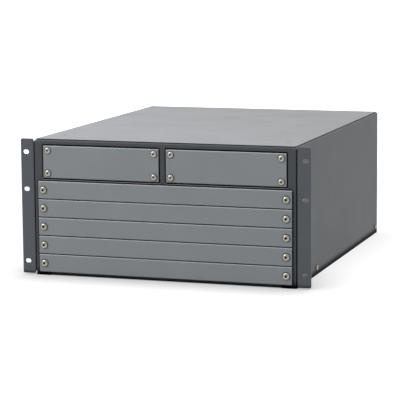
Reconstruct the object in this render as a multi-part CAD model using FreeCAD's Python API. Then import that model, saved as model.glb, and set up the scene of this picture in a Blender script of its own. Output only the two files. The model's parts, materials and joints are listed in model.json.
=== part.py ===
"""A 5U rack chassis for plug-in switch modules, built as its separate sheet, moulded and turned pieces.

Frame: millimetres, +X to the right seen from the front, +Y to the rear, +Z up.
The origin is the centre of the flat underside.
"""
import FreeCAD, Part
import math
import os

from FreeCAD import Vector

os.makedirs("parts", exist_ok=True)

# ---- Rack standard -------------------------------------------------------------------------------
EAR_SPAN = 482.6            # across both rack ears
EAR_WIDTH = 22.8            # of one rack ear's face
EAR_SLOT_INSET = 8.75       # from a rack ear's tip to its row of slots
RACK_UNIT = 44.45
RACK_UNITS = 5
RACK_PLAY = 0.75            # how much shorter than its units the body is
FIRST_SLOT_DROP = 21.8      # from the body's top to the first ear slot
SECOND_SLOT_STEP = 60.35    # from the first ear slot to the second

# ---- Body ----------------------------------------------------------------------------------------
BODY_DEPTH = 550.0
SHEET = 1.5                 # folded body sheet
LID_SHEET = 1.5
BEND = 2.5                  # outside radius of a fold in the body sheet
RETURN_FLANGE = 14.0        # folded edges that the lid and the rear panel are fixed to
CORNER_RELIEF = 4.5         # square notch where two flanges meet
MITRE_GAP = 0.6             # between two flanges where they meet
LID_REVEAL = 2.8            # from the body's outside to the lid's edge
LID_CORNER = 2.0

# ---- Front openings ------------------------------------------------------------------------------
TOP_BAR = 8.8               # from the body's top to the bay windows
BAY_WINDOW_HEIGHT = 56.5
WINDOW_CORNER = 2.5
STILE = 14.0                # beside the bay windows
DIVIDER = 8.0               # between the bay windows
CROSS_BAR = 2.8             # what shows between a bay window and the first slot panel
CARD_STILE = 24.5           # beside the card opening, partly behind the slot panels
CARD_OPENING_DROP = 7.7     # from the bay windows to the card opening
FLOOR_GAP = 5.4             # under the last slot panel

# ---- Blank covers --------------------------------------------------------------------------------
COVER_SHEET = 2.5
COVER_EDGE = 0.6            # bevel round the front
COVER_CORNER = 0.8
BAY_GAP = 2.0               # all round a bay panel in its window
BAY_SCREW_INSET = 8.0
SLOT_COUNT = 5
SLOT_GAP = 1.0              # between two slot panels
SLOT_PANEL_INSET = 7.0      # from the body's side to a slot panel's end
SLOT_SCREW_INSET = 9.0

# ---- Rack ears -----------------------------------------------------------------------------------
EAR_SHEET = 2.5
EAR_BEND = 3.0
EAR_BOTTOM = 2.0            # above the body's underside
EAR_TOP_DROP = 0.3          # below the body's top
EAR_FLANGE = 32.0           # along the body's side
EAR_RELIEF_HEIGHT = 5.5     # the flange stops this far short of the face's ends
EAR_RELIEF_WIDTH = 2.5
EAR_CORNER = 2.5
EAR_SLOT_LENGTH = 10.3
EAR_SLOT_HEIGHT = 7.0
EAR_SCREW_SETBACK = 19.0
EAR_SCREW_COUNT = 4
EAR_SCREW_END = 28.0        # from the flange's ends to the first screw

# ---- Bottom pan and lid fixings ------------------------------------------------------------------
PAN_FLANGE = 20.0
PAN_LIP = 11.0
SIDE_SCREW_HEIGHT = 12.0
SIDE_SCREW_SETBACK = 120.0  # of the front one
REAR_SCREW_INSET = 13.0     # from the rear edge
REAR_SCREW_DROPS = (16.5, 142.5)
REAR_FLANGE = 26.0
LID_SCREW_SETBACK = 57.0    # the front pair
LID_SCREW_INSET = 30.0      # of the front pair, from the body's side
LID_REAR_INSET = 11.5       # of the rear pair, from the body's side
LID_REAR_SETBACK = 24.0

# ---- Inside --------------------------------------------------------------------------------------
REAR_DEPTH = 220.0          # from the bulkhead to the back
FIT = 0.5                   # play between an inner sheet and the walls round it
INNER_FLANGE = 12.0
SHELF_DROP = 1.7            # shelf's top below the bay windows' lower edge
POST_WEB = 30.0             # of an outer bay post, from the side wall inwards
POST_LEG = 12.0
CENTER_POST_WEB = 46.0
CAGE_CLEARANCE = 1.0        # cage side's inner face behind the card opening's edge
CAGE_FOOT = 12.0
CAGE_NUT_GAP = 1.5          # from the slot panels' nuts back to the cage sides
GUIDE_HEIGHT = 9.0
GUIDE_DEPTH = 6.0
GUIDE_GROOVE = 2.4
GUIDE_GROOVE_DEPTH = 4.0
GUIDE_END_GAP = 28.0        # from the guides to the backplane
GUIDE_LEAD = 12.0           # flared mouth of the groove
RAIL_WIDTH = 22.0
RAIL_LIP = 10.0
BOARD = 2.4
BOARD_INSET = 3.0           # from the cage sides to the backplane's edges
BOARD_MARGIN = 8.0          # above the pan and below the shelf
STANDOFF = 8.0
STANDOFF_FLATS = 7.0
STANDOFF_INSET = 8.4        # from the backplane's corners, both ways
CONNECTOR = (90.0, 11.0, 10.0)
CONNECTOR_POCKET = (82.0, 8.0, 3.4)
CONNECTOR_OFFSET = 90.0
SUPPLY_WIDTH = 110.0
SUPPLY_HEIGHT = 62.0
SUPPLY_INSET = 45.5         # from the body's side
SUPPLY_GAP = 12.0           # behind the bulkhead
SUPPLY_REAR_ROOM = 41.5     # from its back to the body's, for the inlets and switches
SUPPLY_FOOT = 9.0
SUPPLY_EDGE = 3.0           # bevelled upper edges
TERMINAL_RECESS = (73.0, 9.0, 18.0)
TERMINAL_HEIGHT = 42.0      # of the recess's middle

# ---- Rear ----------------------------------------------------------------------------------------
INLET_INSET = 68.5          # from the body's side to an inlet's middle
SWITCH_STEP = 50.0          # from an inlet's middle to its switch's
POWER_HEIGHT = 44.0         # of the inlets and the switches
INLET_FLANGE = (50.0, 23.0, 3.0)
INLET_BODY = (27.0, 19.6, 20.0)
INLET_CAVITY = (24.4, 16.8, 17.0)
INLET_CORNER = 6.9
INLET_CHAMFER = 4.0
INLET_SCREW_SPACING = 40.0
BLADE = (2.0, 4.0, 14.5)
BLADE_SPACING = 7.0
BLADE_OFFSET = 2.0
CUTOUT_PLAY = 0.2           # round what is set into the rear panel
SWITCH_BEZEL = (26.0, 33.0, 2.0)
SWITCH_BODY = (22.4, 29.0, 16.0)
SWITCH_WALL = 1.9
SWITCH_CAVITY_DEPTH = 12.0
ROCKER_PLAY = 0.4
ROCKER_TILT = 10.0          # either way from level
ROCKER_PIVOT_DEPTH = 3.0    # below the bezel's face
ROCKER_VALLEY = 2.4         # crown's middle above the pivot
ROCKER_DEPTH = 7.5          # below the pivot
ROCKER_SKIRT = 30.0         # how far below level, in degrees, the rocker's round ends reach
PIVOT_RADIUS = 1.5
PIVOT_PLAY = 0.05
PIVOT_LENGTH = 1.3
VENT_WIDTH = 3.5
VENT_CORNER = 1.3
VENT_HEIGHT = 62.0
VENT_PITCH = 11.5
VENT_COUNT = 12
VENT_TOP_DROP = 32.0
STUD_RADIUS = 3.0
STUD_LENGTH = 20.0
STUD_HEIGHT = 44.0
STUD_UNDERCUT = (1.0, 0.5)  # width and depth of the groove at the nut's face

# ---- Fasteners: thread radius, head radius, head height, length and, where there is one, socket across flats
BAY_SCREW = (2.5, 5.3, 2.9, 9.0, 3.0)
SLOT_SCREW = (3.0, 5.8, 3.4, 11.0, 4.0)
SIDE_SCREW = (2.0, 3.9, 2.2, 7.0, 2.5)
FLAT_SCREW = (1.5, 3.0, 1.4, 6.0)
HOLE_PLAY = 0.25            # radial, round a screw
THREAD_PLAY = 0.1           # radial, inside a nut
NUT_HEIGHT = 4.0
NUT_WALL = 1.9              # from the thread to a flat
DOME = ((1.0, 0.0), (1.0, 0.3), (0.65, 1.0))    # a domed head's rings: shares of its radius and height
SOCKET_FLOOR = 0.35         # share of the head's height that a socket leaves

# ---- Fineness ----------------------------------------------------------------------------------------
HEAD_SIDES = 8              # flats round a screw's head
SHANK_SIDES = 6             # flats round a domed screw's shank and its holes
CORNER_STEPS = 3            # straight steps round a plate's corner
SMALL_CORNER_STEPS = 2
PAST = 1.0                  # how far a cutting shape reaches past a surface
TOLERANCE = 1e-6

# ---- Worked out from the above ---------------------------------------------------------------------
SIDE = EAR_SPAN / 2 - EAR_WIDTH
EAR_SLOT_X = EAR_SPAN / 2 - EAR_SLOT_INSET
BODY_HEIGHT = RACK_UNITS * RACK_UNIT - RACK_PLAY
FRONT = -BODY_DEPTH / 2
BACK = BODY_DEPTH / 2
SHELL_TOP = BODY_HEIGHT - LID_SHEET
INNER_SIDE = SIDE - SHEET
FRAME_BACK = FRONT + SHEET
WINDOW_TOP = BODY_HEIGHT - TOP_BAR
WINDOW_BOTTOM = WINDOW_TOP - BAY_WINDOW_HEIGHT
WINDOW_INNER = DIVIDER / 2
WINDOW_OUTER = SIDE - STILE
CARD_HALF = SIDE - CARD_STILE
CARD_TOP = WINDOW_BOTTOM - CARD_OPENING_DROP
SLOTS_TOP = WINDOW_BOTTOM - CROSS_BAR
SLOT_PITCH = (SLOTS_TOP - FLOOR_GAP + SLOT_GAP) / SLOT_COUNT
SLOT_HEIGHT = SLOT_PITCH - SLOT_GAP
SLOT_PANEL_HALF = SIDE - SLOT_PANEL_INSET
SLOT_CENTERS = [SLOTS_TOP - SLOT_HEIGHT / 2 - i * SLOT_PITCH for i in range(SLOT_COUNT)]
BAY_FRONT = FRAME_BACK - COVER_SHEET
BAY_CENTER_Z = (WINDOW_TOP + WINDOW_BOTTOM) / 2
BAY_CENTER_X = (WINDOW_INNER + WINDOW_OUTER) / 2
BAY_PANEL_WIDTH = WINDOW_OUTER - WINDOW_INNER - 2 * BAY_GAP
BAY_PANEL_HEIGHT = BAY_WINDOW_HEIGHT - 2 * BAY_GAP
BULKHEAD_FRONT = BACK - REAR_DEPTH
SHELF_TOP = WINDOW_BOTTOM - SHELF_DROP
SHELF_BOTTOM = SHELF_TOP - SHEET
CAGE_FACE = CARD_HALF + CAGE_CLEARANCE
CAGE_FRONT = FRAME_BACK + NUT_HEIGHT + CAGE_NUT_GAP
FLANGE_EDGE = SIDE - RETURN_FLANGE
SUPPLY_FRONT = BULKHEAD_FRONT + SHEET + SUPPLY_GAP
SUPPLY_BACK = BACK - SUPPLY_REAR_ROOM
SUPPLY_CENTER = SIDE - SUPPLY_INSET - SUPPLY_WIDTH / 2
INLET_CENTER = SIDE - INLET_INSET
SWITCH_CENTER = INLET_CENTER - SWITCH_STEP
BOARD_FRONT = BULKHEAD_FRONT - STANDOFF - BOARD
CONNECTOR_FRONT = BOARD_FRONT - CONNECTOR[1]
EAR_TOP = BODY_HEIGHT - EAR_TOP_DROP
EAR_ROWS = [BODY_HEIGHT - FIRST_SLOT_DROP,
            BODY_HEIGHT - FIRST_SLOT_DROP - SECOND_SLOT_STEP,
            BODY_HEIGHT - FIRST_SLOT_DROP - (RACK_UNITS - 1) * RACK_UNIT]
PIVOT_Y = BACK + SWITCH_BEZEL[2] - ROCKER_PIVOT_DEPTH
RAIL_Y = FRONT + LID_SCREW_SETBACK
SIDES = {"left": -1, "right": 1}


# ---- Shape helpers ---------------------------------------------------------------------------------
def block(x0, x1, y0, y1, z0, z1):
    """Box between two corners, given in any order."""
    low = Vector(min(x0, x1), min(y0, y1), min(z0, z1))
    return Part.makeBox(abs(x1 - x0), abs(y1 - y0), abs(z1 - z0), low)


def block_at(center, size):
    """Box of a size (x, y, z) about its centre."""
    low = Vector(*[c - s / 2 for c, s in zip(center, size)])
    return Part.makeBox(*size, low)


def mirrored(shape):
    """The same shape on the other side of the middle plane."""
    return shape.mirror(Vector(0, 0, 0), Vector(1, 0, 0))


def on_side(shape, side):
    """A shape made for the right, put on the named side."""
    return shape if side > 0 else mirrored(shape)


def cylinder(radius, length, base, direction):
    return Part.makeCylinder(radius, length, base, direction)


def flat_face(points):
    """Flat face inside a closed line through the points."""
    return Part.Face(Part.makePolygon(points + points[:1]))


def stack(outlines):
    """Solid through flat outlines of equally many points, with flat sides from one to the next."""
    faces = [flat_face(outlines[0]), flat_face(outlines[-1])]
    for low, high in zip(outlines, outlines[1:]):
        for i in range(len(low)):
            faces.append(flat_face([low[i - 1], low[i], high[i], high[i - 1]]))
    return Part.makeSolid(Part.makeShell(faces))


def plate_outline(x, z, width, height, corner, y, steps=CORNER_STEPS):
    """Points round a plate in the XZ plane about (x, z), its corners rounded in straight steps."""
    points = []
    for quarter, (sx, sz) in enumerate(((1, 1), (-1, 1), (-1, -1), (1, -1))):
        for i in range(steps + 1):
            angle = (quarter + i / steps) * math.pi / 2
            points.append(Vector(x + sx * (width / 2 - corner) + corner * math.cos(angle), y,
                                 z + sz * (height / 2 - corner) + corner * math.sin(angle)))
    return points


def rounded_plate(x, z, width, height, corner, y0, y1, steps=CORNER_STEPS):
    """Plate in the XZ plane about (x, z), with rounded corners, from y0 to y1."""
    return stack([plate_outline(x, z, width, height, corner, y, steps) for y in (y0, y1)])


def bevelled_plate(x, z, width, height, corner, y0, y1, bevel):
    """Rounded plate whose face at y1 is bevelled all round."""
    step = math.copysign(bevel, y1 - y0)
    full = [plate_outline(x, z, width, height, corner, y, SMALL_CORNER_STEPS) for y in (y0, y1 - step)]
    face = plate_outline(x, z, width - 2 * bevel, height - 2 * bevel, corner - bevel, y1, SMALL_CORNER_STEPS)
    return stack(full + [face])


def oblong(x, z, length, height, y0, y1):
    """Slot with round ends through the XZ plane."""
    r = height / 2
    run = length / 2 - r
    ends = [cylinder(r, y1 - y0, Vector(x + s * run, y0, z), Vector(0, 1, 0)) for s in (-1, 1)]
    return block(x - run, x + run, y0, y1, z - r, z + r).fuse(ends).removeSplitter()


def ring(radius, height, sides):
    """Corners of a regular polygon about the Z axis, at a height."""
    angles = [2 * math.pi * i / sides for i in range(sides)]
    return [Vector(radius * math.cos(a), radius * math.sin(a), height) for a in angles]


def prism(radius, sides, length, base, direction):
    """Prism with its corners at a radius, length along direction."""
    return aimed(stack([ring(radius, h, sides) for h in (0, length)]), base, direction)


def hexagon(flats, length, base, direction):
    """Hexagonal prism, length along direction."""
    return prism(flats / math.sqrt(3), 6, length, base, direction)


def around(radius, sides):
    """Corner radius of a polygon whose flats lie at a radius."""
    return radius / math.cos(math.pi / sides)


def aimed(shape, base, direction):
    """A shape made along +Z at the origin, moved to base and turned to direction."""
    turned = shape.copy()
    turned.Placement = FreeCAD.Placement(base, FreeCAD.Rotation(Vector(0, 0, 1), direction))
    return turned


def folded(bounds, walls, sheet, bend, outer=True):
    """Folded sheet: the named walls of a box, with rounded folds between neighbours.

    bounds is (x0, x1, y0, y1, z0, z1) over the outside; walls names the sides that stay.
    A sheet that isn't an outer one has its folds bevelled, which saves faces.
    """
    x0, x1, y0, y1, z0, z1 = bounds
    past = 4 * bend + sheet
    planes = {"left": (0, x0), "right": (0, x1), "front": (1, y0), "back": (1, y1),
              "bottom": (2, z0), "top": (2, z1)}
    low = [x0, y0, z0]
    high = [x1, y1, z1]
    inner_planes = {}
    for name, (axis, place) in planes.items():
        is_low = name in ("left", "front", "bottom")
        step = sheet if name in walls else -past
        inner_planes[name] = (axis, place + step if is_low else place - step)
    inner_low = [inner_planes[n][1] for n in ("left", "front", "bottom")]
    inner_high = [inner_planes[n][1] for n in ("right", "back", "top")]
    outside = Part.makeBox(*[h - l for h, l in zip(high, low)], Vector(*low))
    inside = Part.makeBox(*[h - l for h, l in zip(inner_high, inner_low)], Vector(*inner_low))
    outer_edges = fold_edges(outside, walls, planes)
    inner_edges = fold_edges(inside, walls, inner_planes)
    if outer:
        return outside.makeFillet(bend, outer_edges).cut(inside.makeFillet(bend - sheet, inner_edges))
    return outside.makeChamfer(bend / 2, outer_edges).cut(inside.makeChamfer((bend - sheet) / 2, inner_edges))


def fold_edges(solid, walls, planes):
    """Edges of a box where two of the named walls meet."""
    found = []
    for edge in solid.Edges:
        middle = edge.valueAt((edge.FirstParameter + edge.LastParameter) / 2)
        touched = [n for n in walls if abs(middle[planes[n][0]] - planes[n][1]) < TOLERANCE]
        if len(touched) == 2:
            found.append(edge)
    return found


def single(shape):
    """The one solid of a shape, without split faces."""
    cleaned = shape.removeSplitter()
    if len(cleaned.Solids) != 1:
        raise ValueError("expected one solid, got %d" % len(cleaned.Solids))
    return cleaned.Solids[0]


def export(name, shape):
    shape.exportStep("parts/%s.step" % name)


def group(solids):
    return Part.makeCompound(solids)


# ---- Fasteners -------------------------------------------------------------------------------------
def domed_screw(sizes, base, direction):
    """Domed hexagon-socket screw; base is under its head and direction points out of the head."""
    thread, head, height, length, socket = sizes
    screw = stack([ring(share * head, rise * height, HEAD_SIDES) for share, rise in DOME])
    screw = screw.fuse(prism(thread, SHANK_SIDES, length, Vector(0, 0, 0), Vector(0, 0, -1)))
    screw = screw.cut(hexagon(socket, height, Vector(0, 0, SOCKET_FLOOR * height), Vector(0, 0, 1)))
    return aimed(single(screw), base, direction)


def flat_screw(sizes, face, direction):
    """Countersunk screw whose flat top lies at face; direction points out of the head."""
    thread, head, height, length = sizes
    rings = ((thread, -length), (thread, -height), (head, 0))
    return aimed(stack([ring(r, z, HEAD_SIDES) for r, z in rings]), face, direction)


def screw_hole(sizes, start, direction, length):
    """Clear hole for a screw, reaching both ways from start."""
    radius = around(sizes[0] + HOLE_PLAY, SHANK_SIDES)
    return prism(radius, SHANK_SIDES, 2 * length, start - direction * length, direction)


def countersink(sizes, face, direction, length):
    """Hole for a countersunk screw, with its head's taper let in at face."""
    thread = around(sizes[0] + HOLE_PLAY, HEAD_SIDES)
    head = around(sizes[1] + HOLE_PLAY, HEAD_SIDES)
    rings = ((thread, -length), (thread, -sizes[2]), (head, 0), (head, length))
    return aimed(stack([ring(r, z, HEAD_SIDES) for r, z in rings]), face, direction)


def pressed_nut(sizes, face, direction):
    """Hexagonal nut standing on a sheet's back face, along direction."""
    thread = sizes[0]
    body = hexagon(2 * (thread + NUT_WALL), NUT_HEIGHT, face, direction)
    bore = prism(around(thread + THREAD_PLAY, SHANK_SIDES), SHANK_SIDES, NUT_HEIGHT, face, direction)
    return body.cut(bore)


# ---- Where the fasteners go --------------------------------------------------------------------------
def bay_screw_places():
    """Under the heads of the bay panels' screws."""
    half_x = BAY_PANEL_WIDTH / 2 - BAY_SCREW_INSET
    half_z = BAY_PANEL_HEIGHT / 2 - BAY_SCREW_INSET
    return [Vector(side * BAY_CENTER_X + sx * half_x, BAY_FRONT, BAY_CENTER_Z + sz * half_z)
            for side in (-1, 1) for sx in (-1, 1) for sz in (-1, 1)]


def slot_screw_places():
    """Under the heads of the slot panels' screws."""
    x = SLOT_PANEL_HALF - SLOT_SCREW_INSET
    return [Vector(side * x, FRONT - COVER_SHEET, z) for z in SLOT_CENTERS for side in (-1, 1)]


def side_screw_places(side):
    """On a side wall's outside: the screws into the bottom pan's flange."""
    rows = (FRONT + SIDE_SCREW_SETBACK, BACK - REAR_SCREW_INSET)
    return [Vector(side * SIDE, y, SIDE_SCREW_HEIGHT) for y in rows]


def rear_screw_places(side):
    """On a side wall's outside: the flat screws into the rear panel's flange."""
    return [Vector(side * SIDE, BACK - REAR_SCREW_INSET, BODY_HEIGHT - drop) for drop in REAR_SCREW_DROPS]


def ear_screw_places(side):
    """On an ear flange's outside."""
    low = EAR_BOTTOM + EAR_SCREW_END
    high = EAR_TOP - EAR_SCREW_END
    step = (high - low) / (EAR_SCREW_COUNT - 1)
    x = side * (SIDE + EAR_SHEET)
    return [Vector(x, FRONT + EAR_SCREW_SETBACK, low + i * step) for i in range(EAR_SCREW_COUNT)]


def lid_screw_places():
    """On the lid's top: a pair into the top rail and a pair into the shell's side flanges."""
    front_x = SIDE - LID_SCREW_INSET
    rear_x = SIDE - LID_REAR_INSET
    return [Vector(s * x, y, BODY_HEIGHT) for x, y in ((front_x, RAIL_Y), (rear_x, BACK - LID_REAR_SETBACK))
            for s in (-1, 1)]


def inlet_screw_places(side):
    """On an inlet flange's outer face."""
    y = BACK + INLET_FLANGE[2]
    return [Vector(side * INLET_CENTER + s * INLET_SCREW_SPACING / 2, y, POWER_HEIGHT) for s in (-1, 1)]


# ---- Body --------------------------------------------------------------------------------------------
def chassis_shell():
    """Front frame and side walls folded from one sheet, with return flanges along the top."""
    shell = folded((-SIDE, SIDE, FRONT, BACK, 0, SHELL_TOP), ("left", "right", "front", "top"), SHEET, BEND)
    cuts = [block(-SIDE + RETURN_FLANGE, SIDE - RETURN_FLANGE, FRONT + RETURN_FLANGE, BACK + SHEET,
                  SHELL_TOP - 2 * SHEET, SHELL_TOP + SHEET)]
    for side in (-1, 1):
        cuts.append(rounded_plate(side * BAY_CENTER_X, BAY_CENTER_Z, WINDOW_OUTER - WINDOW_INNER,
                                  BAY_WINDOW_HEIGHT, WINDOW_CORNER, FRONT - SHEET, FRAME_BACK + SHEET))
        cuts.append(block(side * (SIDE - CORNER_RELIEF), side * (SIDE + SHEET), FRONT - SHEET,
                          FRONT + CORNER_RELIEF, SHELL_TOP - BEND / 2, SHELL_TOP + SHEET))
        cuts.append(mitre_cut(side))
    card_height = CARD_TOP + SHEET
    cuts.append(rounded_plate(0, CARD_TOP - card_height / 2 - SHEET, 2 * CARD_HALF, card_height + 2 * SHEET,
                              WINDOW_CORNER, FRONT - SHEET, FRAME_BACK + SHEET))
    cuts += shell_holes()
    return single(shell.cut(cuts))


def mitre_cut(side):
    """Thin slanting gap between the front and side flanges where they meet on top."""
    half = MITRE_GAP / 2
    reach = RETURN_FLANGE + SHEET
    corner = Vector(side * SIDE, FRONT, SHELL_TOP - SHEET * 1.5)
    along = Vector(-side * reach, reach, 0)
    across = Vector(side, 1, 0) * half
    points = [corner + across, corner + along + across, corner + along - across, corner - across]
    return flat_face(points).extrude(Vector(0, 0, 3 * SHEET))


def shell_holes():
    """Screw holes in the stiles and the side walls."""
    holes = [screw_hole(SLOT_SCREW, p, Vector(0, 1, 0), 2 * COVER_SHEET + SHEET) for p in slot_screw_places()]
    for side in (-1, 1):
        out = Vector(side, 0, 0)
        holes += [screw_hole(SIDE_SCREW, p, out, 2 * SHEET) for p in side_screw_places(side)]
        holes += [screw_hole(SIDE_SCREW, p, out, EAR_SHEET + 2 * SHEET) for p in ear_screw_places(side)]
        holes += [countersink(FLAT_SCREW, p, out, 3 * SHEET) for p in rear_screw_places(side)]
    return holes + lid_clearance_holes()


def lid_clearance_holes():
    """Plain holes under the lid's countersinks, for the sheets that lie below it."""
    return [screw_hole(FLAT_SCREW, p, Vector(0, 0, 1), LID_SHEET + 3 * SHEET) for p in lid_screw_places()]


def lid():
    """Flat cover with rounded corners and countersunk holes."""
    x = SIDE - LID_REVEAL
    cover = block(-x, x, FRONT + LID_REVEAL, BACK, SHELL_TOP, BODY_HEIGHT)
    corners = [e for e in cover.Edges if abs(e.tangentAt(e.FirstParameter).z) > 0.5]
    cover = cover.makeFillet(LID_CORNER, corners)
    holes = [countersink(FLAT_SCREW, p, Vector(0, 0, 1), 3 * LID_SHEET) for p in lid_screw_places()]
    return single(cover.cut(holes))


def bottom_pan():
    """Floor with flanges up the side walls and a low front lip behind the frame."""
    pan = folded((-INNER_SIDE, INNER_SIDE, FRAME_BACK, BACK, 0, PAN_FLANGE),
                 ("left", "right", "front", "bottom"), SHEET, BEND)
    cuts = [block(-SIDE, SIDE, FRAME_BACK - SHEET, FRAME_BACK + 2 * SHEET, PAN_LIP, PAN_FLANGE + SHEET)]
    for side in (-1, 1):
        cuts.append(block(side * (INNER_SIDE - CORNER_RELIEF), side * SIDE, FRAME_BACK - SHEET,
                          FRAME_BACK + CORNER_RELIEF, -SHEET, PAN_FLANGE + SHEET))
        cuts += [screw_hole(SIDE_SCREW, p, Vector(side, 0, 0), 3 * SHEET) for p in side_screw_places(side)]
    cuts += [countersink(FLAT_SCREW, p, Vector(0, 0, -1), 3 * SHEET) for side in (-1, 1)
             for p in supply_screw_places(side)]
    return single(pan.cut(cuts))


def pan_notches(y0, y1):
    """Room at the lower corners for the bottom pan's side flanges."""
    return [block(side * (INNER_SIDE - BEND), side * (SIDE + SHEET), y0, y1,
                  -SHEET, PAN_FLANGE + FIT) for side in (-1, 1)]


def flange_notches(y0, y1):
    """Room at the upper corners for the shell's return flanges under the lid."""
    return [block(side * (FLANGE_EDGE - FIT), side * (SIDE + SHEET), y0, y1,
                  SHELL_TOP - BEND, BODY_HEIGHT) for side in (-1, 1)]


def vents():
    """Upright slots in two fields, one above each supply."""
    z = BODY_HEIGHT - VENT_TOP_DROP - VENT_HEIGHT / 2
    first = -(VENT_COUNT - 1) * VENT_PITCH / 2
    return [rounded_plate(side * SUPPLY_CENTER + first + i * VENT_PITCH, z, VENT_WIDTH, VENT_HEIGHT,
                          VENT_CORNER, BACK - 2 * SHEET, BACK + SHEET, steps=1)
            for side in (-1, 1) for i in range(VENT_COUNT)]


def rear_panel():
    """Folded tray that closes the back, with vents and the cut-outs for inlets and switches."""
    front = BACK - REAR_FLANGE
    panel = folded((-INNER_SIDE, INNER_SIDE, front, BACK, SHEET, SHELL_TOP),
                   ("left", "right", "back", "top", "bottom"), SHEET, BEND)
    cuts = vents() + pan_notches(front - SHEET, BACK + SHEET) + flange_notches(front - SHEET, BACK + SHEET)
    for side in (-1, 1):
        for center, body in ((INLET_CENTER, INLET_BODY), (SWITCH_CENTER, SWITCH_BODY)):
            size = (body[0] + 2 * CUTOUT_PLAY, 6 * SHEET, body[1] + 2 * CUTOUT_PLAY)
            cuts.append(block_at((side * center, BACK, POWER_HEIGHT), size))
        cuts += [screw_hole(FLAT_SCREW, p, Vector(0, 1, 0), 3 * SHEET + INLET_FLANGE[2])
                 for p in inlet_screw_places(side)]
        cuts += [screw_hole(FLAT_SCREW, p, Vector(side, 0, 0), 4 * SHEET) for p in rear_screw_places(side)]
    stud_hole = cylinder(STUD_RADIUS + THREAD_PLAY, 4 * SHEET, Vector(0, BACK - 3 * SHEET, STUD_HEIGHT),
                         Vector(0, 1, 0))
    return single(panel.cut(cuts + [stud_hole]))


# ---- Rack ears ---------------------------------------------------------------------------------------
def rack_ear(side):
    """L bracket with oblong rack slots; its flange stops short of the face at both ends."""
    tip = EAR_SPAN / 2
    ear = folded((SIDE, tip, FRONT, FRONT + EAR_FLANGE, EAR_BOTTOM, EAR_TOP), ("front", "left"),
                 EAR_SHEET, EAR_BEND)
    corners = [e for e in ear.Edges if abs(e.tangentAt(e.FirstParameter).y) > 0.5
               and abs(e.valueAt(e.FirstParameter).x - tip) < TOLERANCE]
    ear = ear.makeFillet(EAR_CORNER, corners)
    cuts = [oblong(EAR_SLOT_X, z, EAR_SLOT_LENGTH, EAR_SLOT_HEIGHT, FRONT - EAR_SHEET, FRONT + 2 * EAR_SHEET)
            for z in EAR_ROWS]
    for end, inwards in ((EAR_TOP, -1), (EAR_BOTTOM, 1)):
        foot = end + inwards * EAR_RELIEF_HEIGHT
        cuts.append(block(SIDE - EAR_SHEET, SIDE + EAR_BEND, FRONT + EAR_SHEET, FRONT + 2 * EAR_FLANGE,
                          foot, end - inwards * EAR_SHEET))
        wedge = [Vector(SIDE - EAR_SHEET, FRONT - EAR_SHEET, foot), Vector(SIDE, FRONT - EAR_SHEET, foot),
                 Vector(SIDE + EAR_RELIEF_WIDTH, FRONT - EAR_SHEET, end),
                 Vector(SIDE - EAR_SHEET, FRONT - EAR_SHEET, end)]
        cuts.append(flat_face(wedge).extrude(Vector(0, 3 * EAR_SHEET, 0)))
    cuts += [screw_hole(SIDE_SCREW, p, Vector(1, 0, 0), 2 * EAR_SHEET) for p in ear_screw_places(1)]
    return on_side(single(ear.cut(cuts)), side)


# ---- Blank covers ------------------------------------------------------------------------------------
def cover(x, z, width, height, back, places, screw):
    """Flat cover with rounded corners and a bevelled front, drilled for its screws."""
    plate = bevelled_plate(x, z, width, height, COVER_CORNER, back, back - COVER_SHEET, COVER_EDGE)
    mine = [p for p in places if abs(p.x - x) < width / 2 and abs(p.z - z) < height / 2]
    return single(plate.cut([screw_hole(screw, p, Vector(0, 1, 0), 2 * COVER_SHEET) for p in mine]))


def bay_panel(side):
    return cover(side * BAY_CENTER_X, BAY_CENTER_Z, BAY_PANEL_WIDTH, BAY_PANEL_HEIGHT, FRAME_BACK,
                 bay_screw_places(), BAY_SCREW)


def slot_panel(index):
    return cover(0, SLOT_CENTERS[index], 2 * SLOT_PANEL_HALF, SLOT_HEIGHT, FRONT,
                 slot_screw_places(), SLOT_SCREW)


# ---- Bays --------------------------------------------------------------------------------------------
def post_holes():
    return [screw_hole(BAY_SCREW, p, Vector(0, 1, 0), 3 * COVER_SHEET) for p in bay_screw_places()]


def bay_post(side):
    """Angle behind a bay window's outer edge."""
    post = folded((INNER_SIDE - POST_WEB, INNER_SIDE, FRAME_BACK, FRAME_BACK + POST_LEG,
                   SHELF_TOP, post_top()), ("front", "right"), SHEET, BEND, outer=False)
    return single(on_side(post, side).cut(post_holes()))


def bay_post_center():
    """Channel behind the divider, which both bay panels screw to."""
    half = CENTER_POST_WEB / 2
    post = folded((-half, half, FRAME_BACK, FRAME_BACK + POST_LEG, SHELF_TOP, post_top()),
                  ("front", "left", "right"), SHEET, BEND, outer=False)
    return single(post.cut(post_holes()))


def post_top():
    return SHELL_TOP - BEND


def bay_shelf():
    """Floor of the two bays and roof of the card cage."""
    shelf = folded((-INNER_SIDE, INNER_SIDE, FRAME_BACK, BULKHEAD_FRONT, SHELF_TOP - INNER_FLANGE, SHELF_TOP),
                   ("left", "right", "front", "top"), SHEET, BEND, outer=False)
    cuts = [block(-SIDE, SIDE, FRAME_BACK - SHEET, FRAME_BACK + 2 * SHEET,
                  SHELF_TOP - 2 * INNER_FLANGE, CARD_TOP)]
    for side in (-1, 1):
        cuts.append(block(side * (INNER_SIDE - CORNER_RELIEF), side * SIDE, FRAME_BACK - SHEET,
                          FRAME_BACK + CORNER_RELIEF, SHELF_TOP - 2 * INNER_FLANGE, BODY_HEIGHT))
    return single(shelf.cut(cuts))


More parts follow.
